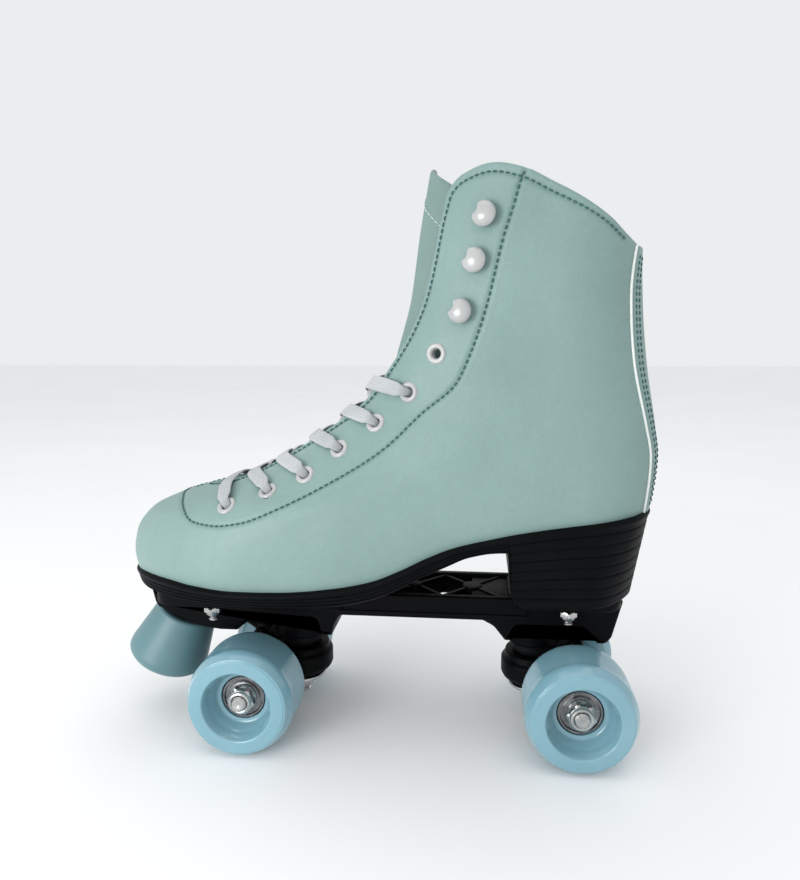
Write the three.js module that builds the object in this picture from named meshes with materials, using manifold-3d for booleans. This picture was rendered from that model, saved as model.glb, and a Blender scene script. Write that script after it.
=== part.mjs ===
// A left quad roller skate: high-top lace-up boot, stacked-heel outsole, nylon chassis, two
// tilting trucks, four wheels and a toe stop. Millimetres; +X to the toe, +Y to the wearer's
// left (the outer side of this boot), +Z up. Z = 0 is the floor under the wheels.
import * as THREE from "three";
import { mergeVertices } from "three/addons/utils/BufferGeometryUtils.js";
import Module from "manifold-3d";

const wasm = await Module();
wasm.setup();

// ---------------------------------------------------------------- driving dimensions
const GAP = 0.3; // left between touching pieces
const FRONT_AXLE_X = 62.7;
const WHEELBASE = 166.4;
const WHEEL_RADIUS = 27;
const WHEEL_WIDTH = 32;
const WHEEL_INNER_Y = 17.4;
const WHEEL_SIDES = 32; // flat tread facets, one of them on the floor
const AXLE_RADIUS = 3.9;
const AXLE_HALF_LENGTH = 46.6;
const BEARING = { outer: 11, bore: 4.25, width: 7, outerY: 31.7, innerY: 19.4 };
const AXLE_NUT = { across: 12.6, height: 6.4 };
const KINGPIN_X = -20; // in a truck's frame, +X from the axle to the pivot
const KINGPIN_RADIUS = 4;
const RING = { radius: 16.6, bore: 6.2, low: 26.2, high: 40.2 };
const CUSHION_RADIUS = 11.6;
const PIVOT = { x: 11, z: 54, pin: 4, cupOuter: 6.2, cupInner: 4.4, low: -2, high: 4.4 };
const CHASSIS_TOP = 75.7;
const PLATE_LOW = { front: 67.4, rear: 71.3 }; // undersides, where the mounting nuts sit
const RAIL = { front: 30, back: -80, outer: 20, inner: 15.5, low: 64 };
const BRACE = { places: [24, -6, -36], run: 30, reach: 16.5, half: 1, low: 65, high: 74.5 };
const BLOCK_HALF = 15; // half the thickness of the nose and tail blocks
const BOLT_PLACES = [
  ["front_left", 83.8, 22, PLATE_LOW.front],
  ["front_right", 83.8, -22, PLATE_LOW.front],
  ["rear_left", -99.2, 21, PLATE_LOW.rear],
  ["rear_right", -99.2, -21, PLATE_LOW.rear],
];
const BOLT_RADIUS = 2.4;
const MOUNT_NUT = { across: 8, height: 4.2, tip: 3.2 };
const TOE_STOP = { x: 121.7, z: 28.1, tilt: 26.2, length: 31.2, low: 21.5, top: 16.1 };
const STOP_RECESS = { radius: 7, depth: 14 };
const STOP_BOLT_RADIUS = 3.8;
const OUTSOLE_PROUD = 2.6; // how far the outsole stands out past the upper at the sides
const TOE_PROUD = 0.3; // and at the tip of the toe
const SHELL = 3.2; // leather, lining and foam together
const LAST_BOARD = 3;
const BACK_STAY = 1.2;
const LACE_RADIUS = 1.1;
const EYELET_HOLE = 3.3; // in the leather, under the metal eyelet
const EYELETS = [
  [70.5, 123.8],
  [50.2, 131.1],
  [31.5, 139.3],
  [15.0, 152.0],
  [-3.1, 164.9],
  [-19.5, 179.9],
  [-33.2, 198.4],
]; // x, z on each side, toe to ankle; the last pair is left empty
const HOOKS = [
  [-45.4, 217.5],
  [-51.6, 240.1],
  [-55.9, 259.7],
]; // x, z on each side

// ---------------------------------------------------------------- boot shape as curves
// A smooth monotone curve through a few points, value by position.
function through(points) {
  const n = points.length;
  const at = points.map((p) => p[0]);
  const value = points.map((p) => p[1]);
  const slope = (i) => (value[i + 1] - value[i]) / (at[i + 1] - at[i]);
  const tangent = points.map((_, i) => {
    if (i === 0) return slope(0);
    if (i === n - 1) return slope(n - 2);
    const a = slope(i - 1);
    const b = slope(i);
    return a * b <= 0 ? 0 : (2 * a * b) / (a + b);
  });
  return (t) => {
    if (t <= at[0]) return value[0];
    if (t >= at[n - 1]) return value[n - 1];
    let i = 0;
    while (t > at[i + 1]) i += 1;
    const h = at[i + 1] - at[i];
    const u = (t - at[i]) / h;
    const v = 1 - u;
    return (
      value[i] * v * v * (1 + 2 * u) +
      value[i + 1] * u * u * (1 + 2 * v) +
      h * u * v * (tangent[i] * v - tangent[i + 1] * u)
    );
  };
}

// x of the closed boot's front by height: toe, vamp, instep and shin
const frontLine = through([
  [60, 130], [80, 133.6], [92, 135.6], [103, 133.9], [115, 125.3], [123.5, 107], [132, 77.5],
  [146, 49.5], [160.7, 28], [173.6, 12], [186, 1.5], [196, -5.5], [213.5, -14.5],
  [227, -19.5], [260, -27], [300, -36],
]);
// x of the boot's back by height, under the back stay
const backLine = through([
  [60, -136], [112, -139.2], [149, -142.8], [163, -140.9], [194, -135.6],
  [224, -132.4], [246, -131.4], [300, -131.4],
]);
const frontRound = through([
  [60, 66], [100, 76], [130, 92], [165, 92], [196, 56], [215, 48], [300, 46],
]);
const backRound = through([[60, 34], [110, 36], [200, 42], [300, 42]]);
const footWidth = through([
  [-140, 33], [-100, 34.5], [-40, 37], [20, 43], [60, 45.5], [90, 45], [140, 40],
]);
const shaftWidth = through([[150, 35], [190, 34.5], [230, 37], [260, 39], [300, 40.5]]);
// height of the line where the upper meets the outsole, by x
const soleLine = through([
  [-140, 121], [-117, 119.2], [-78, 113.8], [-58, 109.6], [-42, 105.6], [-29, 100.4],
  [-17, 94.6], [-2, 88.8], [16, 85.4], [40, 83.2], [67, 82.7], [86, 83.6], [104, 84.7],
  [120, 84.4], [140, 82.4],
]);
const SOLE_TUCK = 2.2;
const TUCK_HEIGHT = 8;

const clamp01 = (t) => Math.min(1, Math.max(0, t));
const smooth = (a, b, t) => {
  const u = clamp01((t - a) / (b - a));
  return u * u * (3 - 2 * u);
};
const rounded = (t) => Math.sqrt(1 - (1 - clamp01(t)) ** 2);
const lean = (line, z) => Math.hypot(1, (line(z + 1) - line(z - 1)) / 2);
const centreY = (x) => -3.5 * smooth(-20, 110, x); // the toes point inwards

function fullWidth(x, z) {
  const mix = smooth(105, 185, z);
  const tuck = SOLE_TUCK * Math.exp(-Math.max(0, z - soleLine(x)) / TUCK_HEIGHT);
  return footWidth(x) * (1 - mix) + shaftWidth(z) * mix - tuck;
}

// Half the boot's width at x, z, with its surface moved inwards by inset.
function halfWidth(x, z, inset = 0) {
  const ahead = frontLine(z) - inset * lean(frontLine, z) - x;
  const behind = x - backLine(z) - inset * lean(backLine, z);
  if (ahead <= 0 || behind <= 0) return 0;
  const ends = rounded(ahead / frontRound(z)) * rounded(behind / backRound(z));
  return (fullWidth(x, z) - inset) * ends;
}

// A point on the front of the boot by its y and height, moved outwards by proud.
function frontPoint(y, z, proud = 0) {
  const ridge = frontLine(z) + proud * lean(frontLine, z);
  const width = fullWidth(ridge - frontRound(z) / 2, z) + proud;
  const share = Math.min(0.98, Math.abs(y) / width);
  const x = ridge - frontRound(z) * (1 - Math.sqrt(1 - share * share));
  return new THREE.Vector3(x, y + centreY(x), z);
}

// A point on the boot's side by x and height, and the direction out of it there.
function sidePoint(x, z, side) {
  return new THREE.Vector3(x, centreY(x) + side * halfWidth(x, z), z);
}
function sideNormal(x, z, side) {
  const alongX = sidePoint(x + 1, z, side).sub(sidePoint(x - 1, z, side));
  const alongZ = sidePoint(x, z + 1, side).sub(sidePoint(x, z - 1, side));
  return alongZ.cross(alongX).multiplyScalar(side).normalize();
}

// ---------------------------------------------------------------- solids
function asSolid(geometry) {
  const bare = geometry.clone();
  bare.deleteAttribute("normal");
  bare.deleteAttribute("uv");
  const merged = mergeVertices(bare, 1e-4);
  const index = merged.index.array;
  const kept = [];
  for (let i = 0; i < index.length; i += 3) {
    const [a, b, c] = [index[i], index[i + 1], index[i + 2]];
    if (a !== b && b !== c && c !== a) kept.push(a, b, c);
  }
  const build = (triVerts) =>
    new wasm.Manifold(
      new wasm.Mesh({
        numProp: 3,
        vertProperties: new Float32Array(merged.attributes.position.array),
        triVerts: new Uint32Array(triVerts),
      }),
    );
  const solid = build(kept);
  return solid.volume() < 0 ? build(kept.reverse()) : solid;
}
function asGeometry(solid) {
  const mesh = solid.getMesh();
  const geometry = new THREE.BufferGeometry();
  geometry.setAttribute("position", new THREE.BufferAttribute(mesh.vertProperties, 3));
  geometry.setIndex(new THREE.BufferAttribute(mesh.triVerts, 1));
  return geometry;
}
const joined = (...solids) => solids.reduce((a, b) => a.add(b));
const cut = (solid, ...tools) => tools.reduce((a, b) => a.subtract(b), solid);

// A closed solid through rings of points, each ring capped from its middle.
function loft(rings) {
  const count = rings[0].length;
  const points = rings.flat();
  const index = [];
  for (let i = 0; i + 1 < rings.length; i += 1) {
    for (let j = 0; j < count; j += 1) {
      const a = i * count + j;
      const b = i * count + ((j + 1) % count);
      index.push(a, b, b + count, a, b + count, a + count);
    }
  }
  for (const [start, turned] of [[0, true], [(rings.length - 1) * count, false]]) {
    const middle = new THREE.Vector3();
    for (let j = 0; j < count; j += 1) middle.add(points[start + j]);
    points.push(middle.divideScalar(count));
    for (let j = 0; j < count; j += 1) {
      const a = start + j;
      const b = start + ((j + 1) % count);
      index.push(...(turned ? [b, a] : [a, b]), points.length - 1);
    }
  }
  const geometry = new THREE.BufferGeometry().setFromPoints(points);
  geometry.setIndex(index);
  return asSolid(geometry);
}
// An outline in x and z, extruded across Y to both sides.
function sidePrism(outline, halfDepth, y = 0) {
  const shape = new THREE.Shape(outline.map(([x, z]) => new THREE.Vector2(x, z)));
  const settings = { depth: 2 * halfDepth, bevelEnabled: false };
  const geometry = new THREE.ExtrudeGeometry(shape, settings);
  geometry.rotateX(Math.PI / 2).translate(0, halfDepth + y, 0);
  return asSolid(geometry);
}
// An outline in x and y, extruded up from low to high.
function planPrism(outline, low, high) {
  const shape = new THREE.Shape(outline.map(([x, y]) => new THREE.Vector2(x, y)));
  const settings = { depth: high - low, bevelEnabled: false };
  return asSolid(new THREE.ExtrudeGeometry(shape, settings).translate(0, 0, low));
}
function post(radius, low, high, x = 0, y = 0, sides = 24, topRadius = radius) {
  const geometry = new THREE.CylinderGeometry(topRadius, radius, high - low, sides);
  geometry.rotateX(Math.PI / 2).translate(x, y, (low + high) / 2);
  return asSolid(geometry);
}
function crossRod(radius, halfLength, x, z, sides = 24) {
  const geometry = new THREE.CylinderGeometry(radius, radius, 2 * halfLength, sides);
  return asSolid(geometry.translate(x, 0, z));
}
// A profile of [radius, height] turned about Z.
function turned(profile, sides) {
  const points = profile.map(([r, h]) => new THREE.Vector2(r, h));
  return asSolid(new THREE.LatheGeometry(points, sides).rotateX(Math.PI / 2));
}
// The solid moved so that its +Z runs along direction from place.
function stood(solid, place, direction) {
  const turn = new THREE.Quaternion().setFromUnitVectors(
    new THREE.Vector3(0, 0, 1),
    direction.clone().normalize(),
  );
  const matrix = new THREE.Matrix4().compose(place, turn, new THREE.Vector3(1, 1, 1));
  return asSolid(asGeometry(solid).applyMatrix4(matrix));
}

// ---------------------------------------------------------------- materials
function finish(color, roughness, metalness = 0) {
  return new THREE.MeshStandardMaterial({ color, roughness, metalness });
}
const MINT = finish(0x9ccac2, 0.55);
const TONGUE = finish(0x8fbcb4, 0.7);
const BLACK = finish(0x17181a, 0.5);
const NYLON = finish(0x101113, 0.42);
const BLUE = finish(0x7fb3cc, 0.22);
const ZINC = finish(0xc4c6c4, 0.3, 1);
const STEEL = finish(0x9a9da0, 0.25, 1);
const WHITE = finish(0xf0f0ec, 0.35);
const LACE = finish(0xf2f2ef, 0.85);
const BUSH = finish(0x2a2b2e, 0.6);

const skate = new THREE.Group();
function piece(name, solid, material, parent = skate) {
  const mesh = new THREE.Mesh(asGeometry(solid), material);
  mesh.name = name;
  parent.add(mesh);
  return mesh;
}

// ---------------------------------------------------------------- boot
const LEVELS = [
  60, 78, 86, 94, 102, 109, 115, 120, 124.5, 130, 137, 146, 156, 168, 182, 195, 208, 230,
  262, 300,
];
const AROUND = 12; // points on each side of a ring

function bootRing(z, inset) {
  const front = frontLine(z) - inset * lean(frontLine, z);
  const back = backLine(z) + inset * lean(backLine, z);
  const ring = [];
  for (let j = 0; j < 2 * AROUND; j += 1) {
    const angle = (Math.PI * j) / AROUND;
    const x = back + ((front - back) * (1 + Math.cos(angle))) / 2;
    const y = Math.sign(Math.sin(angle)) * halfWidth(x, z, inset);
    ring.push(new THREE.Vector3(x, centreY(x) + (j % AROUND ? y : 0), z));
  }
  return ring;
}
const bootForm = (inset) => loft(LEVELS.map((z) => bootRing(z, inset)));

// Everything above the sole line raised by lift.
function aboveSole(lift) {
  const outline = [];
  for (let x = -156; x <= 152; x += 14) outline.push([x, soleLine(x) + lift]);
  return sidePrism([...outline, [152, 320], [-156, 320]], 80);
}
// Everything above the collar's edge and its rounded front corners.
function aboveCollar() {
  return sidePrism(
    [
      [-20, 264], [-34, 264], [-38, 273.8], [-45, 280], [-57, 282.6], [-72, 279.2],
      [-85, 272.9], [-98, 266.4], [-111, 259], [-122, 251.6], [-130, 248.8], [-152, 248.4],
      [-152, 320], [-20, 320],
    ],
    80,
  );
}

// Half the gap between the two rows of eyelets, by height.
const throatHalf = through([
  [128.5, 3], [130.5, 8], [134, 10.5], [160, 12.5], [190, 15], [215, 19], [300, 22],
]);
function throat() {
  const heights = [128.5, 130.5, 134, 146, 160, 176, 194, 212, 250, 305];
  return loft(
    heights.map((z) => {
      const front = frontLine(z) + 30;
      const back = frontLine(z) - 34;
      const half = throatHalf(z);
      return [[front, -half], [front, half], [back, half], [back, -half]].map(
        ([x, y]) => new THREE.Vector3(x, y + centreY(frontLine(z)), z),
      );
    }),
  );
}
function eyeletDrills() {
  const drills = [];
  for (const side of [1, -1]) {
    for (const [x, z] of EYELETS) {
      const drill = post(EYELET_HOLE, -9, 7, 0, 0, 6);
      drills.push(stood(drill, sidePoint(x, z, side), sideNormal(x, z, side)));
    }
  }
  return joined(...drills);
}
function boltDrills(radius) {
  return joined(...BOLT_PLACES.map(([, x, y]) => post(radius, 50, 135, x, y, 12)));
}

function makeUpper() {
  const outside = bootForm(0).intersect(aboveSole(GAP));
  const inside = bootForm(SHELL).intersect(aboveSole(LAST_BOARD + GAP));
  const bolts = boltDrills(BOLT_RADIUS + GAP);
  return cut(outside, inside, aboveCollar(), throat(), eyeletDrills(), bolts);
}

// The strip up the back of the boot, under the piping.
const stripWidth = through([[118, 5], [150, 6.5], [200, 9.5], [225, 9], [252, 5]]);
function makeBackStay() {
  const skin = cut(bootForm(-GAP - BACK_STAY), bootForm(-GAP));
  const outline = [[-160, 122]];
  for (let z = 122; z <= 248; z += 14) outline.push([backLine(z) + stripWidth(z), z]);
  outline.push([-160, 248]);
  return skin.intersect(sidePrism(outline, 60));
}

// A curved sheet under the throat; its middle comes forward between the facings.
const TONGUE_THICK = 3.4;
const TONGUE_UNDER = 9.8; // how far its sides lie under the boot's outer surface
const tongueMiddle = through([
  [126, 9.8], [184, 9.8], [202, 3.2], [215, 0.8], [240, -2], [262, -3.6], [290, -5],
]);
const tongueHalf = through([[120, 17], [150, 20], [200, 21], [262, 24], [290, 24]]);
function makeTongue() {
  const across = 10;
  const along = 15;
  const sheet = (extra) => {
    const rows = [];
    for (let i = 0; i <= along; i += 1) {
      const row = [];
      for (let j = 0; j <= across; j += 1) {
        const t = (2 * j) / across - 1;
        const top = 288.8 - 17 * Math.abs(t) ** 1.2;
        const low = 124 - 2 * Math.abs(t);
        const z = low + ((top - low) * i) / along;
        const y = t * tongueHalf(z);
        const tuck = smooth(4, throatHalf(z) - 1, Math.abs(y));
        const under = tongueMiddle(z) * (1 - tuck) + TONGUE_UNDER * tuck;
        row.push(frontPoint(y, z, -under - extra));
      }
      rows.push(row);
    }
    return rows;
  };
  const front = sheet(0);
  const behind = sheet(TONGUE_THICK);
  return loft(front.map((row, i) => [...row, ...[...behind[i]].reverse()]));
}

function soleOutline(proud) {
  const ring = [];
  const front = frontLine(84) + TOE_PROUD;
  const back = backLine(118) - proud;
  const steps = 22;
  for (let j = 0; j < 2 * steps; j += 1) {
    const angle = (Math.PI * j) / steps;
    const x = back + ((front - back) * (1 + Math.cos(angle))) / 2;
    const z = Math.max(soleLine(x), 84);
    const ends = rounded((front - x) / frontRound(86)) * rounded((x - back) / backRound(z));
    const y = (fullWidth(x, z) + proud) * ends * Math.sign(Math.sin(angle));
    ring.push([x, (j % steps ? y : 0) + centreY(x)]);
  }
  return ring;
}
// Unit sole and stacked heel in one moulding, up to the sole line.
function makeOutsole() {
  const low = CHASSIS_TOP + GAP;
  const bottom = [
    [-126, low], [-76.5, low], [-72, 79.5], [-69.4, 84.5], [-67.4, 103.8], [-62, 103.4],
    [-50, 101.2], [-38, 96], [-25, 90], [-14, 84.2], [-2, 79.8], [14, 76.8], [30, low],
    [70, low], [122, low], [129.6, 76.8], [133, 78.4], [135.4, 81.6], [136, 140],
  ];
  const heelBack = [
    [-145, 140], [-142.6, 118], [-140.6, 106], [-138.4, 92], [-136.4, 80], [-134, 76.6],
  ];
  const block = cut(planPrism(soleOutline(OUTSOLE_PROUD), 60, 135), aboveSole(0));
  const shaped = block.intersect(sidePrism([...bottom, ...heelBack], 80));
  return cut(shaped, boltDrills(BOLT_RADIUS + GAP));
}
function makeInsole() {
  const low = LAST_BOARD + 5;
  const inside = bootForm(SHELL + 1).intersect(aboveSole(low));
  return cut(inside, aboveSole(low + 3));
}

// ---------------------------------------------------------------- lacing
// One lace: a bar across the lowest pair, then both ends cross from the inside of one
// eyelet to the outside of the next pair up, and end inside the last laced pair.
const LACED = 6;
const ABOVE = 2.8;
const UNDER = -6;
function eyeletPoint(i, side, proud) {
  const [x, z] = EYELETS[i];
  const out = sideNormal(x, z, side).multiplyScalar(proud);
  return sidePoint(x, z, side).add(out);
}
function edgePoint(i, toNext, side, proud) {
  const z = EYELETS[i][1] * (1 - toNext) + EYELETS[i + 1][1] * toNext + 7.5;
  return frontPoint(side * (throatHalf(z) + 0.5), z, proud);
}
function halfLace(first, over) {
  const points = [];
  let side = first;
  for (let i = 0; i + 1 < LACED; i += 1) {
    const z = (EYELETS[i][1] + EYELETS[i + 1][1]) / 2 + 11;
    points.push(eyeletPoint(i, side, ABOVE), eyeletPoint(i, side, -1.5));
    points.push(eyeletPoint(i, side, UNDER - 0.8), edgePoint(i, 0.28, side, UNDER));
    points.push(frontPoint(0, z, over));
    points.push(edgePoint(i, 0.72, -side, ABOVE));
    side = -side;
  }
  const last = LACED - 1;
  points.push(eyeletPoint(last, side, ABOVE), eyeletPoint(last, side, -6));
  return points;
}
function makeLace() {
  const bar = frontPoint(0, EYELETS[0][1] + 9, ABOVE);
  const route = [...halfLace(1, 1.4).reverse(), bar, ...halfLace(-1, -2.2)];
  const path = new THREE.CatmullRomCurve3(route, false, "centripetal");
  const section = new THREE.Shape();
  section.absarc(0, 0, LACE_RADIUS, 0, 2 * Math.PI);
  const settings = { steps: 90, curveSegments: 3, extrudePath: path, bevelEnabled: false };
  return asSolid(new THREE.ExtrudeGeometry(section, settings));
}
function makeHook() {
  return turned(
    [
      [0, 0.5], [4.2, 0.5], [4.2, 1.4], [2.2, 1.4], [2.2, 3.5], [5.7, 3.8], [4.5, 6.2],
      [0, 7.3],
    ],
    10,
  );
}

piece("upper", makeUpper(), MINT);
piece("back_stay", makeBackStay(), MINT);
piece("tongue", makeTongue(), TONGUE);
piece("outsole", makeOutsole(), BLACK);
piece("insole", makeInsole(), TONGUE);
piece("lace", makeLace(), LACE);
for (const [label, side] of [["left", 1], ["right", -1]]) {
  HOOKS.forEach(([x, z], i) => {
    const hook = stood(makeHook(), sidePoint(x, z, side), sideNormal(x, z, side));
    piece(`lace_hook_${label}_${i + 1}`, hook, WHITE);
  });
}

// ---------------------------------------------------------------- chassis
const RING_MIDDLE = (RING.low + RING.high) / 2;
const TILT = Math.atan2(PIVOT.z - RING_MIDDLE, PIVOT.x - KINGPIN_X);
const REAR_AXLE_X = FRONT_AXLE_X - WHEELBASE;
// label, axle x, and 1 where the truck's pivot is ahead of its axle or -1 where behind
const TRUCKS = [
  ["front", FRONT_AXLE_X, 1],
  ["rear", REAR_AXLE_X, -1],
];
const tiltDirection = (way) => new THREE.Vector3(way * Math.cos(TILT), 0, Math.sin(TILT));

function roundedPlate(front, back, half, low, high) {
  const corner = Math.min(half, 16);
  const outline = [];
  const arc = (x, y, from) => {
    for (let k = 0; k <= 4; k += 1) {
      const angle = from + (Math.PI / 8) * k;
      outline.push([x + corner * Math.cos(angle), y + corner * Math.sin(angle)]);
    }
  };
  arc(front - corner, half - corner, 0);
  arc(back + corner, half - corner, Math.PI / 2);
  arc(back + corner, corner - half, Math.PI);
  arc(front - corner, corner - half, 1.5 * Math.PI);
  return planPrism(outline, low, high);
}
// Bores at one truck: kingpin, its head, the upper cushion and the pivot cup.
function truckBores(axleX, way) {
  const x = axleX + way * KINGPIN_X;
  const pivot = new THREE.Vector3(axleX + way * PIVOT.x, 0, PIVOT.z);
  const cup = post(PIVOT.cupOuter + GAP, -12, PIVOT.high + GAP, 0, 0, 16);
  return joined(
    post(KINGPIN_RADIUS + GAP, 40, 80, x, 0, 12),
    post(8.8, 69.5, 80, x, 0, 12),
    post(CUSHION_RADIUS + 3 * GAP, 40, 51.3, x, 0, 20),
    stood(cup, pivot, tiltDirection(way)),
  );
}
function brace(x1, y1, x2, y2) {
  const length = Math.hypot(x2 - x1, y2 - y1);
  const nx = (BRACE.half * (y2 - y1)) / length;
  const ny = (BRACE.half * (x1 - x2)) / length;
  const outline = [
    [x1 - nx, y1 - ny], [x2 - nx, y2 - ny], [x2 + nx, y2 + ny], [x1 + nx, y1 + ny],
  ];
  return planPrism(outline, BRACE.low, BRACE.high);
}
function box(front, back, half, low, high) {
  return planPrism([[front, -half], [front, half], [back, half], [back, -half]], low, high);
}
// The open middle of the chassis: two rails with crossed braces between them.
function middleRails() {
  const outer = box(RAIL.front, RAIL.back, RAIL.outer, RAIL.low, CHASSIS_TOP);
  const hollow = box(RAIL.front - 6, RAIL.back + 14, RAIL.inner, RAIL.low - 4, CHASSIS_TOP + 4);
  const crosses = [];
  for (const x of BRACE.places) {
    crosses.push(brace(x + 1, -BRACE.reach, x + 1 - BRACE.run, BRACE.reach));
    crosses.push(brace(x + 1, BRACE.reach, x + 1 - BRACE.run, -BRACE.reach));
  }
  const pin = post(5, BRACE.low, CHASSIS_TOP - 2 * GAP, -51, 0, 10);
  return joined(cut(outer, hollow), ...crosses, pin);
}
const stopTilt = THREE.MathUtils.degToRad(TOE_STOP.tilt);
const stopUp = new THREE.Vector3(-Math.sin(stopTilt), 0, Math.cos(stopTilt));
const stopFoot = new THREE.Vector3(TOE_STOP.x, 0, TOE_STOP.z);

function makeChassis() {
  const plateFront = roundedPlate(117.5, 12, 26, PLATE_LOW.front, CHASSIS_TOP);
  const plateRear = roundedPlate(-70, -127, 25, PLATE_LOW.rear, CHASSIS_TOP);
  const nose = sidePrism(
    [
      [121.8, 74], [119.9, 65.4], [118.4, 62.4], [114.4, 60.6], [108.7, 56.9], [100, 53.6], [92, 51.4],
      [84, 50.5], [74.6, 50.5], [69.6, 55], [66, 58], [32, 58], [30, 49.5], [23, 49.5],
      [22, 54], [20, 58], [17, 61.4], [12, 64], [12, 74],
    ],
    BLOCK_HALF,
  );
  const tail = sidePrism(
    [
      [-127.8, 74], [-122.6, 54.5], [-120.6, 51.6], [-118.5, 50.6], [-115.6, 50.6],
      [-110.6, 55], [-107, 58], [-74, 58], [-72, 50.5], [-68.3, 50.5], [-65.7, 53.1],
      [-62.2, 58], [-57.5, 62], [-51, 64], [-51, 74],
    ],
    BLOCK_HALF,
  );
  const stopBoss = stood(post(14, TOE_STOP.length + GAP, 44, 0, 0, 16), stopFoot, stopUp);
  const stopBore = stood(post(STOP_BOLT_RADIUS + GAP, 28, 54, 0, 0, 12), stopFoot, stopUp);
  const bosses = TRUCKS.map(([, x, way]) => post(14.5, 46.5, 74, x + way * KINGPIN_X, 0, 20));
  const bores = TRUCKS.map(([, x, way]) => truckBores(x, way));
  const above = box(150, -150, 60, CHASSIS_TOP, 120);
  const body = joined(plateFront, plateRear, middleRails(), nose, tail, stopBoss, ...bosses);
  return cut(body, above, ...bores, boltDrills(BOLT_RADIUS + GAP), stopBore);
}

piece("chassis", makeChassis(), NYLON);

const hexNut = (across, bore, height) =>
  cut(post(across / Math.sqrt(3), 0, height, 0, 0, 6), post(bore, -1, height + 1, 0, 0, 12));

for (const [label, x, y, under] of BOLT_PLACES) {
  const head = soleLine(x) + LAST_BOARD + 6 * GAP;
  const nutLow = under - GAP - MOUNT_NUT.height;
  const bolt = joined(
    post(BOLT_RADIUS, nutLow - MOUNT_NUT.tip, head + 2 * GAP, x, y, 12),
    post(5, head, head + 1.7, x, y, 12, 3.6),
  );
  piece(`mount_bolt_${label}`, bolt, ZINC);
  const nut = hexNut(MOUNT_NUT.across, BOLT_RADIUS + GAP, MOUNT_NUT.height);
  piece(`mount_nut_${label}`, nut.translate(x, y, nutLow), ZINC);
}

// ---------------------------------------------------------------- toe stop
const stopRubber = cut(
  turned(
    [
      [0, 0], [TOE_STOP.low - 2, 0], [TOE_STOP.low, 2], [TOE_STOP.low, 5],
      [TOE_STOP.top, TOE_STOP.length], [0, TOE_STOP.length],
    ],
    24,
  ),
  post(STOP_RECESS.radius, -1, STOP_RECESS.depth, 0, 0, 16),
  post(STOP_BOLT_RADIUS + GAP, 10, 40, 0, 0, 12),
);
piece("toe_stop", stood(stopRubber, stopFoot, stopUp), BLUE);
const stopBolt = joined(
  post(6.4, 7.5, STOP_RECESS.depth - GAP, 0, 0, 6),
  post(STOP_BOLT_RADIUS, STOP_RECESS.depth - 1, 50, 0, 0, 12),
);
piece("toe_stop_bolt", stood(stopBolt, stopFoot, stopUp), ZINC);

// ---------------------------------------------------------------- trucks
function makeHanger() {
  const side = sidePrism(
    [
      [-7.6, RING.low + 1], [-6.6, 22], [4, 18.8], [8.4, 22], [8.6, 33], [8, 42],
      [5.6, 46.6], [1, 49.6], [-4.6, 43.6], [-7.6, 40], [KINGPIN_X + 8, RING.high - 1],
    ],
    8,
  );
  const ring = post(RING.radius, RING.low, RING.high, KINGPIN_X, 0, 24);
  const tube = crossRod(8.4, WHEEL_INNER_Y - 0.8, 0, WHEEL_RADIUS, 16);
  const shoulder = crossRod(6.3, BEARING.innerY - GAP, 0, WHEEL_RADIUS, 14);
  const pin = stood(
    post(PIVOT.pin, -13, PIVOT.high - 0.8, 0, 0, 12),
    new THREE.Vector3(PIVOT.x, 0, PIVOT.z),
    tiltDirection(1),
  );
  return cut(
    joined(side, ring, tube, shoulder, pin),
    post(RING.bore, RING.low - 2, RING.high + 2, KINGPIN_X, 0, 16),
    crossRod(AXLE_RADIUS + GAP + 0.1, 40, 0, WHEEL_RADIUS, 12),
  );
}
const onKingpin = (solid) => solid.translate(KINGPIN_X, 0, 0);
const kingpinDrill = (low, high) => post(KINGPIN_RADIUS + GAP, low - 1, high + 1, 0, 0, 12);
function washer(radius, low, high) {
  return onKingpin(cut(post(radius, low, high, 0, 0, 16), kingpinDrill(low, high)));
}
// A barrel-shaped ring on the kingpin, its ends smaller than its middle.
function cushion(low, high) {
  const middle = (low + high) / 2;
  const end = CUSHION_RADIUS - 4 * GAP;
  const lower = post(end, low, middle, 0, 0, 16, CUSHION_RADIUS);
  const upper = post(CUSHION_RADIUS, middle, high, 0, 0, 16, end);
  return onKingpin(cut(joined(lower, upper), kingpinDrill(low, high)));
}
function makePivotCup() {
  const outside = post(PIVOT.cupOuter, PIVOT.low, PIVOT.high, 0, 0, 16);
  const inside = post(PIVOT.cupInner, PIVOT.low - 1, PIVOT.high - 0.5, 0, 0, 16);
  const pivot = new THREE.Vector3(PIVOT.x, 0, PIVOT.z);
  return stood(cut(outside, inside), pivot, tiltDirection(1));
}

// A wheel turned from its section: radius and distance from its inner face.
function makeWheel() {
  const innerSeat = BEARING.innerY - WHEEL_INNER_Y;
  const innerStop = innerSeat + BEARING.width + GAP;
  const outerSeat = BEARING.outerY + BEARING.width - WHEEL_INNER_Y;
  const outerStop = BEARING.outerY - WHEEL_INNER_Y - GAP;
  const seat = BEARING.outer + GAP;
  const section = [
    [seat, innerSeat], [15.5, 0], [23, 0], [WHEEL_RADIUS, 5], [WHEEL_RADIUS, WHEEL_WIDTH - 5],
    [25.6, WHEEL_WIDTH - 1.4], [22.5, WHEEL_WIDTH], [17.15, WHEEL_WIDTH], [seat, outerSeat],
    [seat, outerStop], [9, outerStop], [9, innerStop], [seat, innerStop],
  ];
  const points = [...section, section[0]].map(([r, h]) => new THREE.Vector2(r, h));
  const geometry = new THREE.LatheGeometry(points, WHEEL_SIDES);
  const facet = Math.cos(Math.PI / WHEEL_SIDES);
  geometry.rotateY(Math.PI / WHEEL_SIDES).scale(1 / facet, 1, 1 / facet);
  return asSolid(geometry);
}
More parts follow.
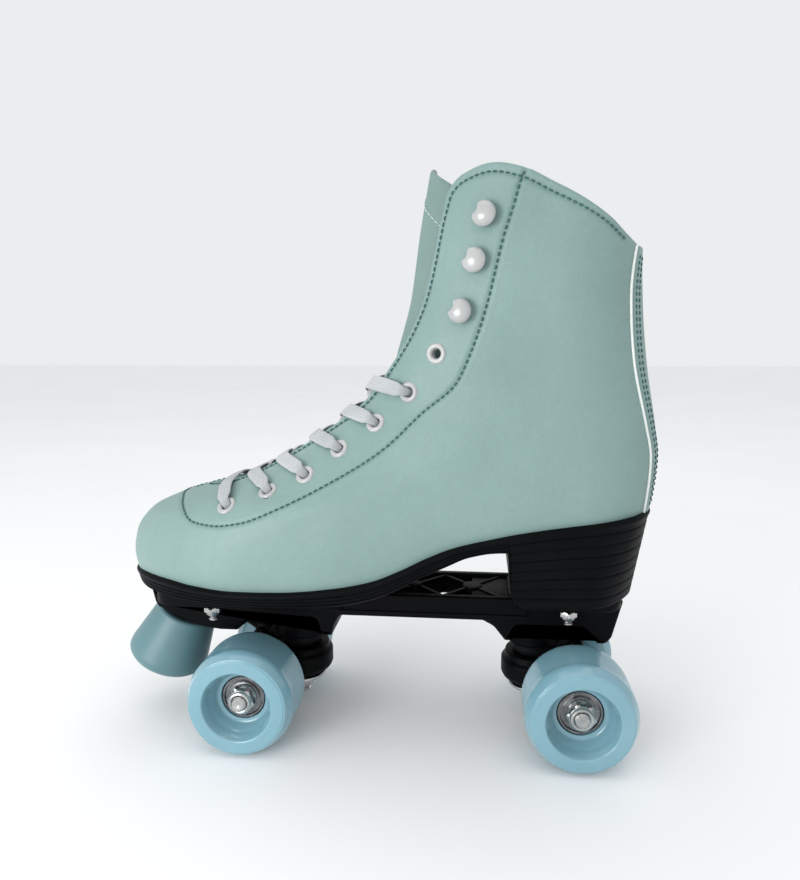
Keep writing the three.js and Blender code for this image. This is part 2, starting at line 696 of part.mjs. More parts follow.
function makeBearing() {
  const half = BEARING.width / 2;
  const points = [
    [BEARING.bore, -half], [BEARING.outer, -half], [BEARING.outer, half],
    [BEARING.bore, half], [BEARING.bore, -half],
  ].map(([r, h]) => new THREE.Vector2(r, h));
  return asSolid(new THREE.LatheGeometry(points, 16));
}

// One wheel with its bearings and nut; half a turn about X puts it on the axle's other end.
function addWheelSet(truck, label, hand, side) {
  const end = new THREE.Group();
  end.position.z = WHEEL_RADIUS;
  end.rotation.x = side < 0 ? Math.PI : 0;
  truck.add(end);
  piece(`${label}_${hand}_wheel`, makeWheel(), BLUE, end).position.y = WHEEL_INNER_Y;
  for (const [place, y] of [["outer", BEARING.outerY], ["inner", BEARING.innerY]]) {
    const bearing = piece(`${label}_${hand}_bearing_${place}`, makeBearing(), STEEL, end);
    bearing.position.y = y + BEARING.width / 2;
  }
  const upright = hexNut(AXLE_NUT.across, AXLE_RADIUS + GAP, AXLE_NUT.height);
  const nut = asSolid(asGeometry(upright).rotateX(-Math.PI / 2));
  piece(`${label}_${hand}_axle_nut`, nut, ZINC, end).position.y =
    BEARING.outerY + BEARING.width + GAP;
}

function addTruck(label, axleX, way) {
  const truck = new THREE.Group();
  truck.position.x = axleX;
  if (way < 0) truck.rotation.z = Math.PI;
  skate.add(truck);
  const add = (name, solid, material) => piece(`${label}_${name}`, solid, material, truck);
  const kingpin = joined(
    post(KINGPIN_RADIUS, 11, 70.5, 0, 0, 12),
    post(7.4, 70, 75.2, 0, 0, 6),
  );
  const kingpinNut = hexNut(11, KINGPIN_RADIUS + GAP, 6).translate(0, 0, 14.6);
  add("hanger", makeHanger(), NYLON);
  add("axle", crossRod(AXLE_RADIUS, AXLE_HALF_LENGTH, 0, WHEEL_RADIUS, 16), ZINC);
  add("kingpin", onKingpin(kingpin), ZINC);
  add("kingpin_nut", onKingpin(kingpinNut), ZINC);
  add("cushion_washer", washer(12.6, 20.9, 22.9), ZINC);
  add("lower_cushion", cushion(23.2, RING.low - GAP), BUSH);
  add("upper_cushion", cushion(RING.high + GAP, 51), BUSH);
  add("pivot_cup", makePivotCup(), BUSH);
  addWheelSet(truck, label, "left", way);
  addWheelSet(truck, label, "right", -way);
}
TRUCKS.forEach(([label, axleX, way]) => addTruck(label, axleX, way));

export default skate;
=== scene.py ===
import math

import bmesh
import bpy
import numpy as np
from mathutils import Matrix, Vector, kdtree, noise


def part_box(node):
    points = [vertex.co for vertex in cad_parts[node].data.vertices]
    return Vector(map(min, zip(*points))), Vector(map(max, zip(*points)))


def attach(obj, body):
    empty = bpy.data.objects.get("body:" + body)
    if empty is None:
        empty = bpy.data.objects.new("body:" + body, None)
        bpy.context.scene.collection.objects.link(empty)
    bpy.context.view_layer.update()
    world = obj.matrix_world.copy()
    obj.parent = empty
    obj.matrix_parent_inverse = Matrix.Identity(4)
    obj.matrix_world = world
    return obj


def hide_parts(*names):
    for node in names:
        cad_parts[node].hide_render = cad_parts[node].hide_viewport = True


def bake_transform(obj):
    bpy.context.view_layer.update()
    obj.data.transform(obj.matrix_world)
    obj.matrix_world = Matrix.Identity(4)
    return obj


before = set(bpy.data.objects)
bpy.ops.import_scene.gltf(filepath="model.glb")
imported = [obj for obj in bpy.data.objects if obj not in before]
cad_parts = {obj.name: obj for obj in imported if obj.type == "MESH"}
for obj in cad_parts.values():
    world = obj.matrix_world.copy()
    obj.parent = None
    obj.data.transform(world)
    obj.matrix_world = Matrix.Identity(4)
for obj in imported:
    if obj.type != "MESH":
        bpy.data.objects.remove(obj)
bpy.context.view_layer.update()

# A left quad roller skate, built round its CAD frame. Shapes are worked out in millimetres and
# turned to metres as they become meshes. +X is the toe, +Y the outer side, +Z up.
MM = 0.001

# ---------------------------------------------------------------- camera
CAMERA_PLACE = (-0.05382, 0.33114, 0.19911)
CAMERA_FORWARD = (0.0870, -0.9886, -0.1226)
CAMERA_RIGHT = (-0.99616, -0.08767, 0.0)
LENS = 26.07
SENSOR_WIDTH = 36
CAMERA_SHIFT = (-0.0265, -0.0106)

# ---------------------------------------------------------------- driving dimensions
STEP = 1.15  # spacing of the boot skin's points
SKIN = 2.6  # thickness of the folded edge of the boot
WHEEL_SEGMENTS = 128
SMALL_SEGMENTS = 48
SEAM_DEPTH = 0.55
SEAM_WIDTH = 1.0
STITCH = {"length": 2.2, "gap": 0.75, "radius": 0.42}
PIPING_RADIUS = 0.65
EYELET_CUT = 3.3
LACE_WIDTH = 7.6
LACE_THICKNESS = 1.25
LACE_RIBS = 6
OUTSOLE_PROUD = 2.6
TOE_PROUD = 0.3
# x and z of the eyelets on each side, toe to ankle; the last pair is empty
EYELETS = [
    (70.5, 123.8),
    (50.2, 131.1),
    (31.5, 139.3),
    (15.0, 152.0),
    (-3.1, 164.9),
    (-19.5, 179.9),
    (-33.2, 198.4),
]
LACED = 6
HOOKS = ((-45.4, 217.5), (-51.6, 240.1), (-55.9, 259.7))


# ---------------------------------------------------------------- boot shape as curves
def through(*points):
    """A smooth curve through the points that doesn't overshoot: value by position."""
    at, value = np.array(points, float).T
    slope = np.diff(value) / np.diff(at)
    before, after = slope[:-1], slope[1:]
    total = np.where(before + after == 0, 1, before + after)
    inner = np.where(before * after > 0, 2 * before * after / total, 0)
    tangent = np.concatenate([slope[:1], inner, slope[-1:]])

    def curve(t):
        t = np.clip(t, at[0], at[-1])
        i = np.clip(np.searchsorted(at, t, side="right") - 1, 0, len(at) - 2)
        h = at[i + 1] - at[i]
        u = (t - at[i]) / h
        v = 1 - u
        ends = value[i] * v * v * (1 + 2 * u) + value[i + 1] * u * u * (1 + 2 * v)
        return ends + h * u * v * (tangent[i] * v - tangent[i + 1] * u)

    return curve


# x of the closed boot's front by height, and of its back under the back strip
front_line = through(
    (60, 130), (80, 133.6), (92, 135.6), (103, 133.9), (115, 125.3), (123.5, 107), (132, 77.5),
    (146, 49.5), (160.7, 28), (173.6, 12), (186, 1.5), (196, -5.5), (213.5, -14.5),
    (227, -19.5), (260, -27), (300, -36),
)
back_line = through(
    (60, -136), (112, -139.2), (149, -142.8), (163, -140.9), (194, -135.6),
    (224, -132.4), (246, -131.4), (300, -131.4),
)
front_round = through((60, 66), (100, 76), (130, 92), (165, 92), (196, 56), (215, 48), (300, 46))
back_round = through((60, 34), (110, 36), (200, 42), (300, 42))
foot_width = through(
    (-140, 33), (-100, 34.5), (-40, 37), (20, 43), (60, 45.5), (90, 45), (140, 40)
)
shaft_width = through((150, 35), (190, 34.5), (230, 37), (260, 39), (300, 40.5))
# height of the line where the upper meets the outsole, by x
sole_line = through(
    (-140, 121), (-117, 119.2), (-78, 113.8), (-58, 109.6), (-42, 105.6), (-29, 100.4),
    (-17, 94.6), (-2, 88.8), (16, 85.4), (40, 83.2), (67, 82.7), (86, 83.6), (104, 84.7),
    (120, 84.4), (140, 82.4),
)
# height of the collar's edge, by x
collar_line = through(
    (-152, 248.4), (-130, 248.8), (-122, 251.6), (-111, 259), (-98, 266.4), (-85, 272.9),
    (-72, 279.2), (-57, 282.6), (-45, 280), (-38, 273.8), (-34, 264),
)
# half the gap between the facings, by height
throat_half = through(
    (128.0, 0), (128.5, 3), (130.5, 8), (134, 10.5), (160, 12.5), (190, 15), (215, 19), (300, 22)
)
# how far the back strip's edge lies ahead of the back line
strip_width = through((118, 5), (150, 6.5), (200, 9.5), (225, 9), (252, 5))
THROAT_END = 128.0
SOLE_TUCK = 2.2
TUCK_HEIGHT = 8


def smooth(a, b, t):
    u = np.clip((t - a) / (b - a), 0, 1)
    return u * u * (3 - 2 * u)


def rounded(t):
    return np.sqrt(1 - (1 - np.clip(t, 0, 1)) ** 2)


def lean(line, z):
    return np.hypot(1, (line(z + 1) - line(z - 1)) / 2)


def centre_y(x):
    return -3.5 * smooth(-20, 110, x)


def full_width(x, z):
    mix = smooth(105, 185, z)
    tuck = SOLE_TUCK * np.exp(-np.maximum(0, z - sole_line(x)) / TUCK_HEIGHT)
    return foot_width(x) * (1 - mix) + shaft_width(z) * mix - tuck


def half_width(x, z, inset=0.0):
    ahead = front_line(z) - inset * lean(front_line, z) - x
    behind = x - back_line(z) - inset * lean(back_line, z)
    ends = rounded(ahead / front_round(z)) * rounded(behind / back_round(z))
    return (full_width(x, z) - inset) * ends


def surface(turn, z, inset=0.0):
    """The boot's surface: turn is 0 at the front, +-pi at the back, positive on the +Y side."""
    front = front_line(z) - inset * lean(front_line, z)
    back = back_line(z) + inset * lean(back_line, z)
    x = back + (front - back) * (1 + np.cos(turn)) / 2
    y = np.sign(np.sin(turn)) * half_width(x, z, inset)
    return np.stack([x, centre_y(x) + y, z + 0 * x], -1)


def unit(vectors):
    return vectors / np.maximum(np.linalg.norm(vectors, axis=-1, keepdims=True), 1e-12)


def run_lengths(points):
    """The distance along a line of points at each of them."""
    return np.concatenate([[0], np.cumsum(np.linalg.norm(np.diff(points, axis=0), axis=1))])


def interpolated(wanted, at, values):
    """Rows of values, known at some places, worked out at the wanted ones."""
    return np.stack([np.interp(wanted, at, c) for c in values.T], -1)


def surface_normal(turn, z, inset=0.0):
    round_step, up_step = 2e-3, 0.1
    along = surface(turn + round_step, z, inset) - surface(turn - round_step, z, inset)
    up = surface(turn, z + up_step, inset) - surface(turn, z - up_step, inset)
    return unit(np.cross(along, up))


def turn_of(x, z, side):
    """The turn of the surface point at x and z on one side."""
    share = (x - back_line(z)) / (front_line(z) - back_line(z))
    return side * np.arccos(np.clip(2 * share - 1, -1, 1))


def turn_at_front(y, z):
    """The turn of the surface point near the front whose distance from the middle is y."""
    y, z = np.broadcast_arrays(np.asarray(y, float), np.asarray(z, float))
    low, high = np.zeros(y.shape), np.full(y.shape, math.pi / 2)
    for _ in range(40):
        middle = (low + high) / 2
        point = surface(middle, z)
        wide = point[..., 1] - centre_y(point[..., 0]) > np.abs(y)
        high = np.where(wide, middle, high)
        low = np.where(wide, low, middle)
    return np.sign(y) * (low + high) / 2


def height_over(x, y):
    """The height of the vamp over a point of the plan, y measured from the boot's middle."""
    x, y = np.broadcast_arrays(np.asarray(x, float), np.asarray(y, float))
    low, high = np.full(x.shape, 95.0), np.full(x.shape, 285.0)
    for _ in range(40):
        middle = (low + high) / 2
        inside = (front_line(middle) > x) & (half_width(x, middle) > np.abs(y))
        low = np.where(inside, middle, low)
        high = np.where(inside, high, middle)
    return low


def on_boot(x, z, side, proud=0.0):
    """A point on the boot's side moved outwards, and the direction out of it."""
    turn = turn_of(x, z, side)
    normal = surface_normal(turn, z)
    return surface(turn, z) + np.asarray(proud)[..., None] * normal, normal


def on_front(y, z, proud=0.0):
    """The same for a point on the front, y from the middle."""
    turn = turn_at_front(y, z)
    normal = surface_normal(turn, z)
    return surface(turn, z) + np.asarray(proud)[..., None] * normal, normal


# ---------------------------------------------------------------- mesh building
def grid_faces(rows, columns, wrap_rows=False, wrap_columns=False, start=0):
    i = np.arange(rows if wrap_rows else rows - 1)
    j = np.arange(columns if wrap_columns else columns - 1)
    a, b = np.meshgrid(i, j, indexing="ij")
    c, d = (a + 1) % rows, (b + 1) % columns
    quads = np.stack([a * columns + b, a * columns + d, c * columns + d, c * columns + b], -1)
    return (quads.reshape(-1, 4) + start).tolist()


class Shape:
    """Points in millimetres and the faces between them, gathered from several shells."""

    def __init__(self):
        self.points = np.zeros((0, 3))
        self.faces = []

    def add(self, points, faces):
        start = len(self.points)
        self.points = np.vstack([self.points, np.asarray(points, float).reshape(-1, 3)])
        self.faces += [tuple(v + start for v in face) for face in faces]
        return self

    def add_shape(self, other):
        return self.add(other.points, other.faces)

    def moved(self, place=(0, 0, 0), direction=(0, 0, 1), spin=0.0):
        """The shape with its +Z turned to direction, stood at place."""
        turn = Vector((0, 0, 1)).rotation_difference(Vector(direction)).to_matrix()
        turn = np.array(turn @ Matrix.Rotation(spin, 3, "Z"))
        made = Shape()
        made.points = self.points @ turn.T + np.asarray(place, float)
        made.faces = self.faces
        return made


def loft(rings, closed=True, caps=True, loop=False):
    """A shell through rings of points: each ring closed, its ends capped or joined in a loop."""
    rings = np.asarray(rings, float)
    rows, columns = rings.shape[:2]
    shape = Shape().add(rings, grid_faces(rows, columns, loop, closed))
    if caps and not loop:
        shape.faces.append(tuple(range(columns))[::-1])
        last = (rows - 1) * columns
        shape.faces.append(tuple(range(last, last + columns)))
    return shape


def fillet(corners, steps=4, closed=True):
    """An outline of (u, v, radius) corners with each corner rounded by its radius."""
    pts = np.array([c[:2] for c in corners], float)
    radii = [c[2] if len(c) > 2 else 0 for c in corners]
    made = []
    count = len(pts)
    for i, radius in enumerate(radii):
        if radius <= 0 or (not closed and i in (0, count - 1)):
            made.append(pts[i])
            continue
        to_last, to_next = pts[i - 1] - pts[i], pts[(i + 1) % count] - pts[i]
        a, b = unit(to_last), unit(to_next)
        angle = math.acos(np.clip(a @ b, -1, 1))
        reach = min(
            radius / math.tan(angle / 2),
            0.49 * np.linalg.norm(to_last),
            0.49 * np.linalg.norm(to_next),
        )
        for k in range(steps + 1):
            t = k / steps
            made.append(pts[i] + (1 - t) ** 2 * reach * a + t * t * reach * b)
    return np.array(made)


def turned(profile, segments=SMALL_SEGMENTS, limit=None, loop=False):
    """A profile of (radius, height) turned about Z. limit caps the radius by angle."""
    profile = np.asarray(profile, float)
    angle = np.arange(segments) * 2 * math.pi / segments
    radius = np.repeat(profile[:, :1], segments, 1)
    if limit is not None:
        radius = np.minimum(radius, limit(angle)[None, :])
    height = np.repeat(profile[:, 1:2], segments, 1)
    rings = np.stack([radius * np.cos(angle), radius * np.sin(angle), height], -1)
    return loft(rings, loop=loop)


def hexagon(across):
    """The hexagon's radius by angle."""
    sixth = math.pi / 3
    return lambda angle: across / 2 / np.cos((angle + sixth / 2) % sixth - sixth / 2)


def offset_outline(outline, distance):
    """The outline moved outwards, for one that runs anticlockwise."""
    ahead = unit(np.roll(outline, -1, 0) - outline)
    behind = unit(outline - np.roll(outline, 1, 0))
    out_a = np.stack([ahead[:, 1], -ahead[:, 0]], -1)
    out_b = np.stack([behind[:, 1], -behind[:, 0]], -1)
    middle = unit(out_a + out_b)
    stretch = np.clip((middle * out_a).sum(1), 0.5, 1)
    return outline + middle * (distance / stretch)[:, None]


EDGE_STEPS = [(-1.0, 0.0), (-0.62, 0.08), (-0.29, 0.29), (-0.08, 0.62), (0.0, 1.0)]


def prism(outline, low, high, edge=1.0, plane="xy"):
    """An outline extruded between two levels, its edges rounded. plane xz extrudes along Y."""
    outline = np.asarray(outline, float)
    area = outline[:, 0] @ np.roll(outline[:, 1], -1) - outline[:, 1] @ np.roll(outline[:, 0], -1)
    if area < 0:
        outline = outline[::-1]
    rows = [(inset * edge, low + rise * edge) for inset, rise in EDGE_STEPS]
    rows += [(inset * edge, high - rise * edge) for inset, rise in EDGE_STEPS[::-1]]
    rings = []
    for inset, level in rows:
        ring = offset_outline(outline, inset)
        rings.append(np.column_stack([ring, np.full(len(ring), level)]))
    shape = loft(rings)
    if plane == "xz":
        shape.points = shape.points[:, [0, 2, 1]]
        shape.faces = [face[::-1] for face in shape.faces]
    return shape


def rod(radius, low, high, edge=0.6, segments=SMALL_SEGMENTS, top_radius=None):
    """A round post with rounded rims."""
    top = radius if top_radius is None else top_radius
    profile = [(max(radius - edge, 0.02), low), (radius - 0.3 * edge, low + 0.08 * edge)]
    profile += [(radius, low + edge), (top, high - edge)]
    profile += [(top - 0.3 * edge, high - 0.08 * edge), (max(top - edge, 0.02), high)]
    return turned(profile, segments)


def turn_faces_out(mesh):
    """Faces of closed surfaces turned outwards; an open surface is left as it was made."""
    work = bmesh.new()
    work.from_mesh(mesh)
    if all(edge.is_manifold for edge in work.edges):
        bmesh.ops.recalc_face_normals(work, faces=work.faces)
        work.to_mesh(mesh)
    work.free()


def piece(name, shape, look, body="skate", replaces=(), sharp=35, blend=None):
    """Makes the mesh object and gives it its look; says which body it moves with, or, with blend set,
    fixes it where it stands.
    """
    mesh = bpy.data.meshes.new(name)
    mesh.from_pydata((shape.points * MM).tolist(), [], shape.faces)
    mesh.validate()
    turn_faces_out(mesh)
    mesh.shade_smooth()
    if sharp:
        mesh.set_sharp_from_angle(angle=math.radians(sharp))
    mesh.materials.append(look)
    obj = bpy.data.objects.new(name, mesh)
    bpy.context.scene.collection.objects.link(obj)
    if blend:
        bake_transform(obj)
    else:
        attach(obj, body)
    if replaces:
        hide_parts(*replaces)
    return obj


def union(parts, cuts=()):
    """One closed shell from overlapping ones, with others cut away."""
    made = []
    for shape in [*parts, *cuts]:
        mesh = bpy.data.meshes.new("part")
        mesh.from_pydata(shape.points.tolist(), [], shape.faces)
        obj = bpy.data.objects.new("part", mesh)
        bpy.context.scene.collection.objects.link(obj)
        made.append(obj)
    first = made[0]
    for i, other in enumerate(made[1:], 1):
        step = first.modifiers.new("join", "BOOLEAN")
        step.object = other
        step.operation = "UNION" if i < len(parts) else "DIFFERENCE"
        step.solver = "MANIFOLD"
    bpy.context.view_layer.update()
    graph = bpy.context.evaluated_depsgraph_get()
    result = first.evaluated_get(graph).to_mesh()
    shape = Shape()
    points = np.empty(3 * len(result.vertices))
    result.vertices.foreach_get("co", points)
    shape.points = points.reshape(-1, 3)
    shape.faces = [tuple(p.vertices) for p in result.polygons]
    first.evaluated_get(graph).to_mesh_clear()
    for obj in made:
        mesh = obj.data
        bpy.data.objects.remove(obj)
        bpy.data.meshes.remove(mesh)
    return shape


def tube(points, radius, sides=10, caps=True):
    """A tube along a line of points."""
    points = np.asarray(points, float)
    along = unit(np.gradient(points, axis=0))
    side = np.cross(along[0], (0, 0, 1) if abs(along[0][2]) < 0.9 else (1, 0, 0))
    frames = []
    for direction in along:
        side = unit(side - (side @ direction) * direction)
        frames.append((side, np.cross(direction, side)))
    angle = np.arange(sides) * 2 * math.pi / sides
    radius = np.broadcast_to(radius, len(points))
    rings = [
        p + r * (np.outer(np.cos(angle), a) + np.outer(np.sin(angle), b))
        for p, r, (a, b) in zip(points, radius, frames)
    ]
    return loft(rings, caps=caps)


def resampled(points, step):
    """Evenly spaced places along a line, as positions into it."""
    length = np.linalg.norm(np.diff(points, axis=0), axis=1)
    at = np.concatenate([[0], np.cumsum(length)])
    return at, np.linspace(0, at[-1], max(2, int(at[-1] / step) + 1))


def spline(points, step=0.8):
    """A smooth line through a few points, evenly stepped."""
    points = np.asarray(points, float)
    at = np.concatenate([[0], np.cumsum(np.linalg.norm(np.diff(points, axis=0), axis=1) ** 0.5)])
    curves = [through(*zip(at, column)) for column in points.T]
    fine = np.linspace(0, at[-1], 60 * len(points))
    dense = np.stack([curve(fine) for curve in curves], -1)
    place, even = resampled(dense[:, :3], step)
    return np.stack([np.interp(even, place, column) for column in dense.T], -1)


# ---------------------------------------------------------------- procedural looks
class Look:
    """A node material: the shader's own sockets hold what is the same all over."""

    def __init__(self, name, **sockets):
        self.material = bpy.data.materials.new(name)
        self.material.use_nodes = True
        self.tree = self.material.node_tree
        self.shader = self.tree.nodes["Principled BSDF"]
        for socket, value in sockets.items():
            self.shader.inputs[socket.replace("_", " ")].default_value = value
        self.place = self.new("ShaderNodeTexCoord").outputs["Object"]
        self.normal = None

    def new(self, kind, **settings):
        made = self.tree.nodes.new(kind)
        for key, value in settings.items():
            setattr(made, key, value)
        return made

    def link(self, output, socket):
        self.tree.links.new(output, socket)

    def stretched(self, scale, turn=(0, 0, 0)):
        """The piece's own coordinates, scaled apart along each axis."""
        mapping = self.new("ShaderNodeMapping")
        mapping.inputs["Scale"].default_value = scale
        mapping.inputs["Rotation"].default_value = turn
        self.link(self.place, mapping.inputs["Vector"])
        return mapping.outputs["Vector"]

    def noise(self, scale, detail=4.0, roughness=0.55, vector=None):
        made = self.new("ShaderNodeTexNoise")
        made.inputs["Scale"].default_value = scale
        made.inputs["Detail"].default_value = detail
        made.inputs["Roughness"].default_value = roughness
        self.link(vector or self.place, made.inputs["Vector"])
        return made.outputs["Fac"]

    def cells(self, scale, feature="F1", vector=None):
        made = self.new("ShaderNodeTexVoronoi", feature=feature)
        made.inputs["Scale"].default_value = scale
        self.link(vector or self.place, made.inputs["Vector"])
        return made.outputs["Distance"]

    def bands(self, scale, axis, distortion=0.0, vector=None):
        made = self.new("ShaderNodeTexWave", bands_direction=axis)
        made.inputs["Scale"].default_value = scale
        made.inputs["Distortion"].default_value = distortion
        self.link(vector or self.place, made.inputs["Vector"])
        return made.outputs["Fac"]

    def span(self, value, low, high, from_low=0.3, from_high=0.7):
        """The value stretched from its own range to another."""
        made = self.new("ShaderNodeMapRange")
        for socket, number in zip(made.inputs[1:5], (from_low, from_high, low, high)):
            socket.default_value = number
        self.link(value, made.inputs[0])
        return made.outputs[0]

    def colours(self, value, *stops):
        """A colour by value, from (position, colour) stops."""
        made = self.new("ShaderNodeValToRGB")
        ramp = made.color_ramp
        while len(ramp.elements) < len(stops):
            ramp.elements.new(0.5)
        for element, (position, colour) in zip(ramp.elements, stops):
            element.position = position
            element.color = (*colour, 1)
        self.link(value, made.inputs[0])
        return made.outputs[0]

    def mixed(self, value, first, second, blend="MIX"):
        made = self.new("ShaderNodeMix", data_type="RGBA", blend_type=blend)
        if isinstance(value, float):
            made.inputs[0].default_value = value
        else:
            self.link(value, made.inputs[0])
        self.link(first, made.inputs[6])
        self.link(second, made.inputs[7])
        return made.outputs[2]

    def bump(self, height, distance, strength=1.0):
        """Adds relief of a real height, in metres, to the surface."""
        made = self.new("ShaderNodeBump")
        made.inputs["Strength"].default_value = strength
        made.inputs["Distance"].default_value = distance
        self.link(height, made.inputs["Height"])
        if self.normal:
            self.link(self.normal, made.inputs["Normal"])
        self.normal = made.outputs["Normal"]
        self.link(self.normal, self.shader.inputs["Normal"])
        return self

    def colour(self, output):
        self.link(output, self.shader.inputs["Base Color"])
        return self

    def rough(self, output):
        self.link(output, self.shader.inputs["Roughness"])
        return self


def linear(red, green, blue):
    """A colour given as it looks on a screen, 0 to 255."""
    values = (c / 255 for c in (red, green, blue))
    return tuple(v / 12.92 if v <= 0.04045 else ((v + 0.055) / 1.055) ** 2.4 for v in values)


def leather(name, dark, light, grain=0.00013):
    """Matt coated leather: pebble grain, pores, faint creases and a slow change of tone."""
    look = Look(name, Specular_IOR_Level=0.42, Coat_Weight=0.06, Coat_Roughness=0.42)
    tone = look.noise(14, 3)
    speck = look.noise(260, 5, 0.6)
    broad = look.colours(tone, (0.3, dark), (0.7, light))
    fine = look.colours(speck, (0.25, dark), (0.75, light))
    look.colour(look.mixed(0.3, broad, fine))
    look.rough(look.span(look.noise(900, 4), 0.43, 0.57))
    look.bump(look.noise(42, 5, 0.6), 0.0005, 0.6)
    look.bump(look.cells(1150, "SMOOTH_F1"), grain, 0.8)
    look.bump(look.noise(3200, 3), grain * 0.5, 0.8)
    return look.material


def woven(name, dark, light, threads=1500, relief=0.0001, roughness=0.85):
    """Cloth with crossing threads."""
    look = Look(name, Sheen_Weight=0.25, Sheen_Roughness=0.5, Specular_IOR_Level=0.25)
    across = look.bands(threads / 2, "X", 1.5)
    along = look.bands(threads / 2, "Z", 1.5)
    weave = look.mixed(0.5, across, along, "MULTIPLY")
    look.colour(look.mixed(0.35, look.colours(look.noise(60), (0.3, dark), (0.7, light)),
                           look.colours(weave, (0.1, dark), (0.7, light))))
    look.rough(look.span(look.noise(700), roughness - 0.06, roughness + 0.06))
    look.bump(weave, relief, 0.7)
    look.bump(look.noise(1800, 4), relief * 0.5, 0.6)
    return look.material


def moulded(name, dark, light, roughness, relief=0.00003, sockets=None, scuffs=0.25):
    """Moulded plastic, rubber or urethane: faint flow marks, fine pitting and light scuffs."""
    look = Look(name, **(sockets or {}))
    tone = look.noise(35, 3)
    scuff = look.noise(420, 6, 0.7, look.stretched((1, 1, 3)))
    base = look.colours(tone, (0.3, dark), (0.7, light))
    marks = look.colours(scuff, (0.35, dark), (0.8, light))
    look.colour(look.mixed(scuffs, base, marks))
    look.rough(look.span(scuff, roughness * 0.85, roughness * 1.25))
    look.bump(look.noise(2400, 4), relief, 0.6)
    return look.material


def metal(name, dark, light, roughness, brushed=(1, 1, 1)):
    """Plated or ground steel: brushing, faint staining, fine scratches."""
    look = Look(name, Metallic=1.0)
    stain = look.noise(150, 5, 0.65)
    scratch = look.noise(1600, 3, 0.6, look.stretched(brushed))
    base = look.colours(stain, (0.3, dark), (0.7, light))
    look.colour(look.mixed(0.3, base, look.colours(scratch, (0.3, dark), (0.7, light))))
    look.rough(look.span(scratch, roughness - 0.05, roughness + 0.1))
    look.bump(scratch, 0.00002, 0.5)
    return look.material


MINT_DARK = linear(120, 147, 143)
MINT_LIGHT = linear(133, 160, 156)
SATIN_BLACK = {"Specular_IOR_Level": 0.06}
ENAMEL = {"Coat_Weight": 0.5, "Coat_Roughness": 0.12, "Specular_IOR_Level": 0.55}
URETHANE = {"Coat_Weight": 0.6, "Coat_Roughness": 0.06, "Subsurface_Weight": 0.08,
            "Subsurface_Scale": 0.003, "Specular_IOR_Level": 0.5}
SATIN = {"Coat_Weight": 0.1, "Coat_Roughness": 0.3, "Subsurface_Weight": 0.05,
         "Subsurface_Scale": 0.003}
mint = leather("mint_leather", MINT_DARK, MINT_LIGHT)
strip_mint = leather("strip_leather", linear(120, 147, 143), linear(134, 160, 156))
lining = woven("lining_cloth", linear(112, 142, 138), linear(138, 166, 161), 1100)
tongue_look = leather("tongue_leather", linear(112, 136, 132), linear(124, 149, 144), 0.00006)
insole_look = woven("insole_cloth", linear(114, 144, 141), linear(142, 170, 166), 900)
teal_thread = woven("teal_thread", linear(34, 84, 84), linear(58, 110, 108), 3000, 0.00006)
pale_thread = woven("pale_thread", linear(184, 204, 199), linear(212, 224, 220), 3000, 0.00006)
white_piping = moulded("white_piping", linear(214, 219, 216), linear(234, 236, 234), 0.5)
lace_look = woven("lace_cotton", linear(170, 174, 177), linear(199, 202, 204), 2400, 0.00014, 0.9)
enamel = moulded("white_enamel", linear(168, 169, 169), linear(188, 188, 187), 0.22, 0.00001, ENAMEL)
sole_look = moulded("sole_rubber", linear(4, 5, 6), linear(10, 12, 15), 0.46, 0.00004, SATIN_BLACK)
nylon = moulded("black_nylon", linear(3, 4, 5), linear(9, 10, 13), 0.42, 0.00004, SATIN_BLACK)
cushion_look = moulded("cushion_urethane", linear(12, 13, 15), linear(26, 27, 30), 0.5, 0.00003,
                       SATIN_BLACK)
wheel_look = moulded("blue_urethane", linear(114, 157, 171), linear(125, 167, 180), 0.13, 0.000006,
                     URETHANE, 0.05)
stop_look = moulded("blue_rubber", linear(82, 118, 125), linear(93, 128, 134), 0.42, 0.00003, SATIN)
zinc = metal("zinc_plate", linear(150, 152, 153), linear(206, 206, 203), 0.24)
steel = metal("bearing_steel", linear(74, 75, 77), linear(142, 143, 145), 0.26, (1, 0.2, 1))


# ---------------------------------------------------------------- the boot's skin
EDGE_ROLL = SKIN / 2


def skin_grid(step):
    """Turns and heights of an even grid over the whole boot form."""
    fine = np.linspace(60, 300, 4000)
    climb = np.concatenate([[0], np.cumsum(lean(front_line, fine)[:-1] * np.diff(fine))])
    first = np.interp(78, fine, climb)
    last = np.interp(289, fine, climb)
    heights = np.interp(np.arange(first, last, step), climb, fine)
    round_ = np.linspace(-math.pi, math.pi, 4001)
    ring = surface(round_, 108.0)
    at = run_lengths(ring)
    count = int(at[-1] / step / 1.15)
    turns = np.interp(np.linspace(0, at[-1], count, endpoint=False), at, round_)
    return turns, heights


def kept_part(turn, z):
    """Positive inside the upper, zero on its edges, in millimetres or so."""
    point = surface(turn, z)
    x, y = point[..., 0], point[..., 1]
    over_sole = z - sole_line(x) + 1.0
    under_collar = (collar_line(x) - EDGE_ROLL - z) * 0.8
    half = np.where(z > THROAT_END, throat_half(z), 4 * (z - THROAT_END))
    middle = centre_y(front_line(z))
    beside_throat = np.where(np.cos(turn) > 0, np.abs(y - middle) - half - EDGE_ROLL, 99)
    kept = np.minimum(np.minimum(over_sole, under_collar), beside_throat)
    for eyelet_x, eyelet_z in EYELETS:
        kept = np.minimum(kept, np.hypot(x - eyelet_x, z - eyelet_z) - EYELET_CUT)
    return kept


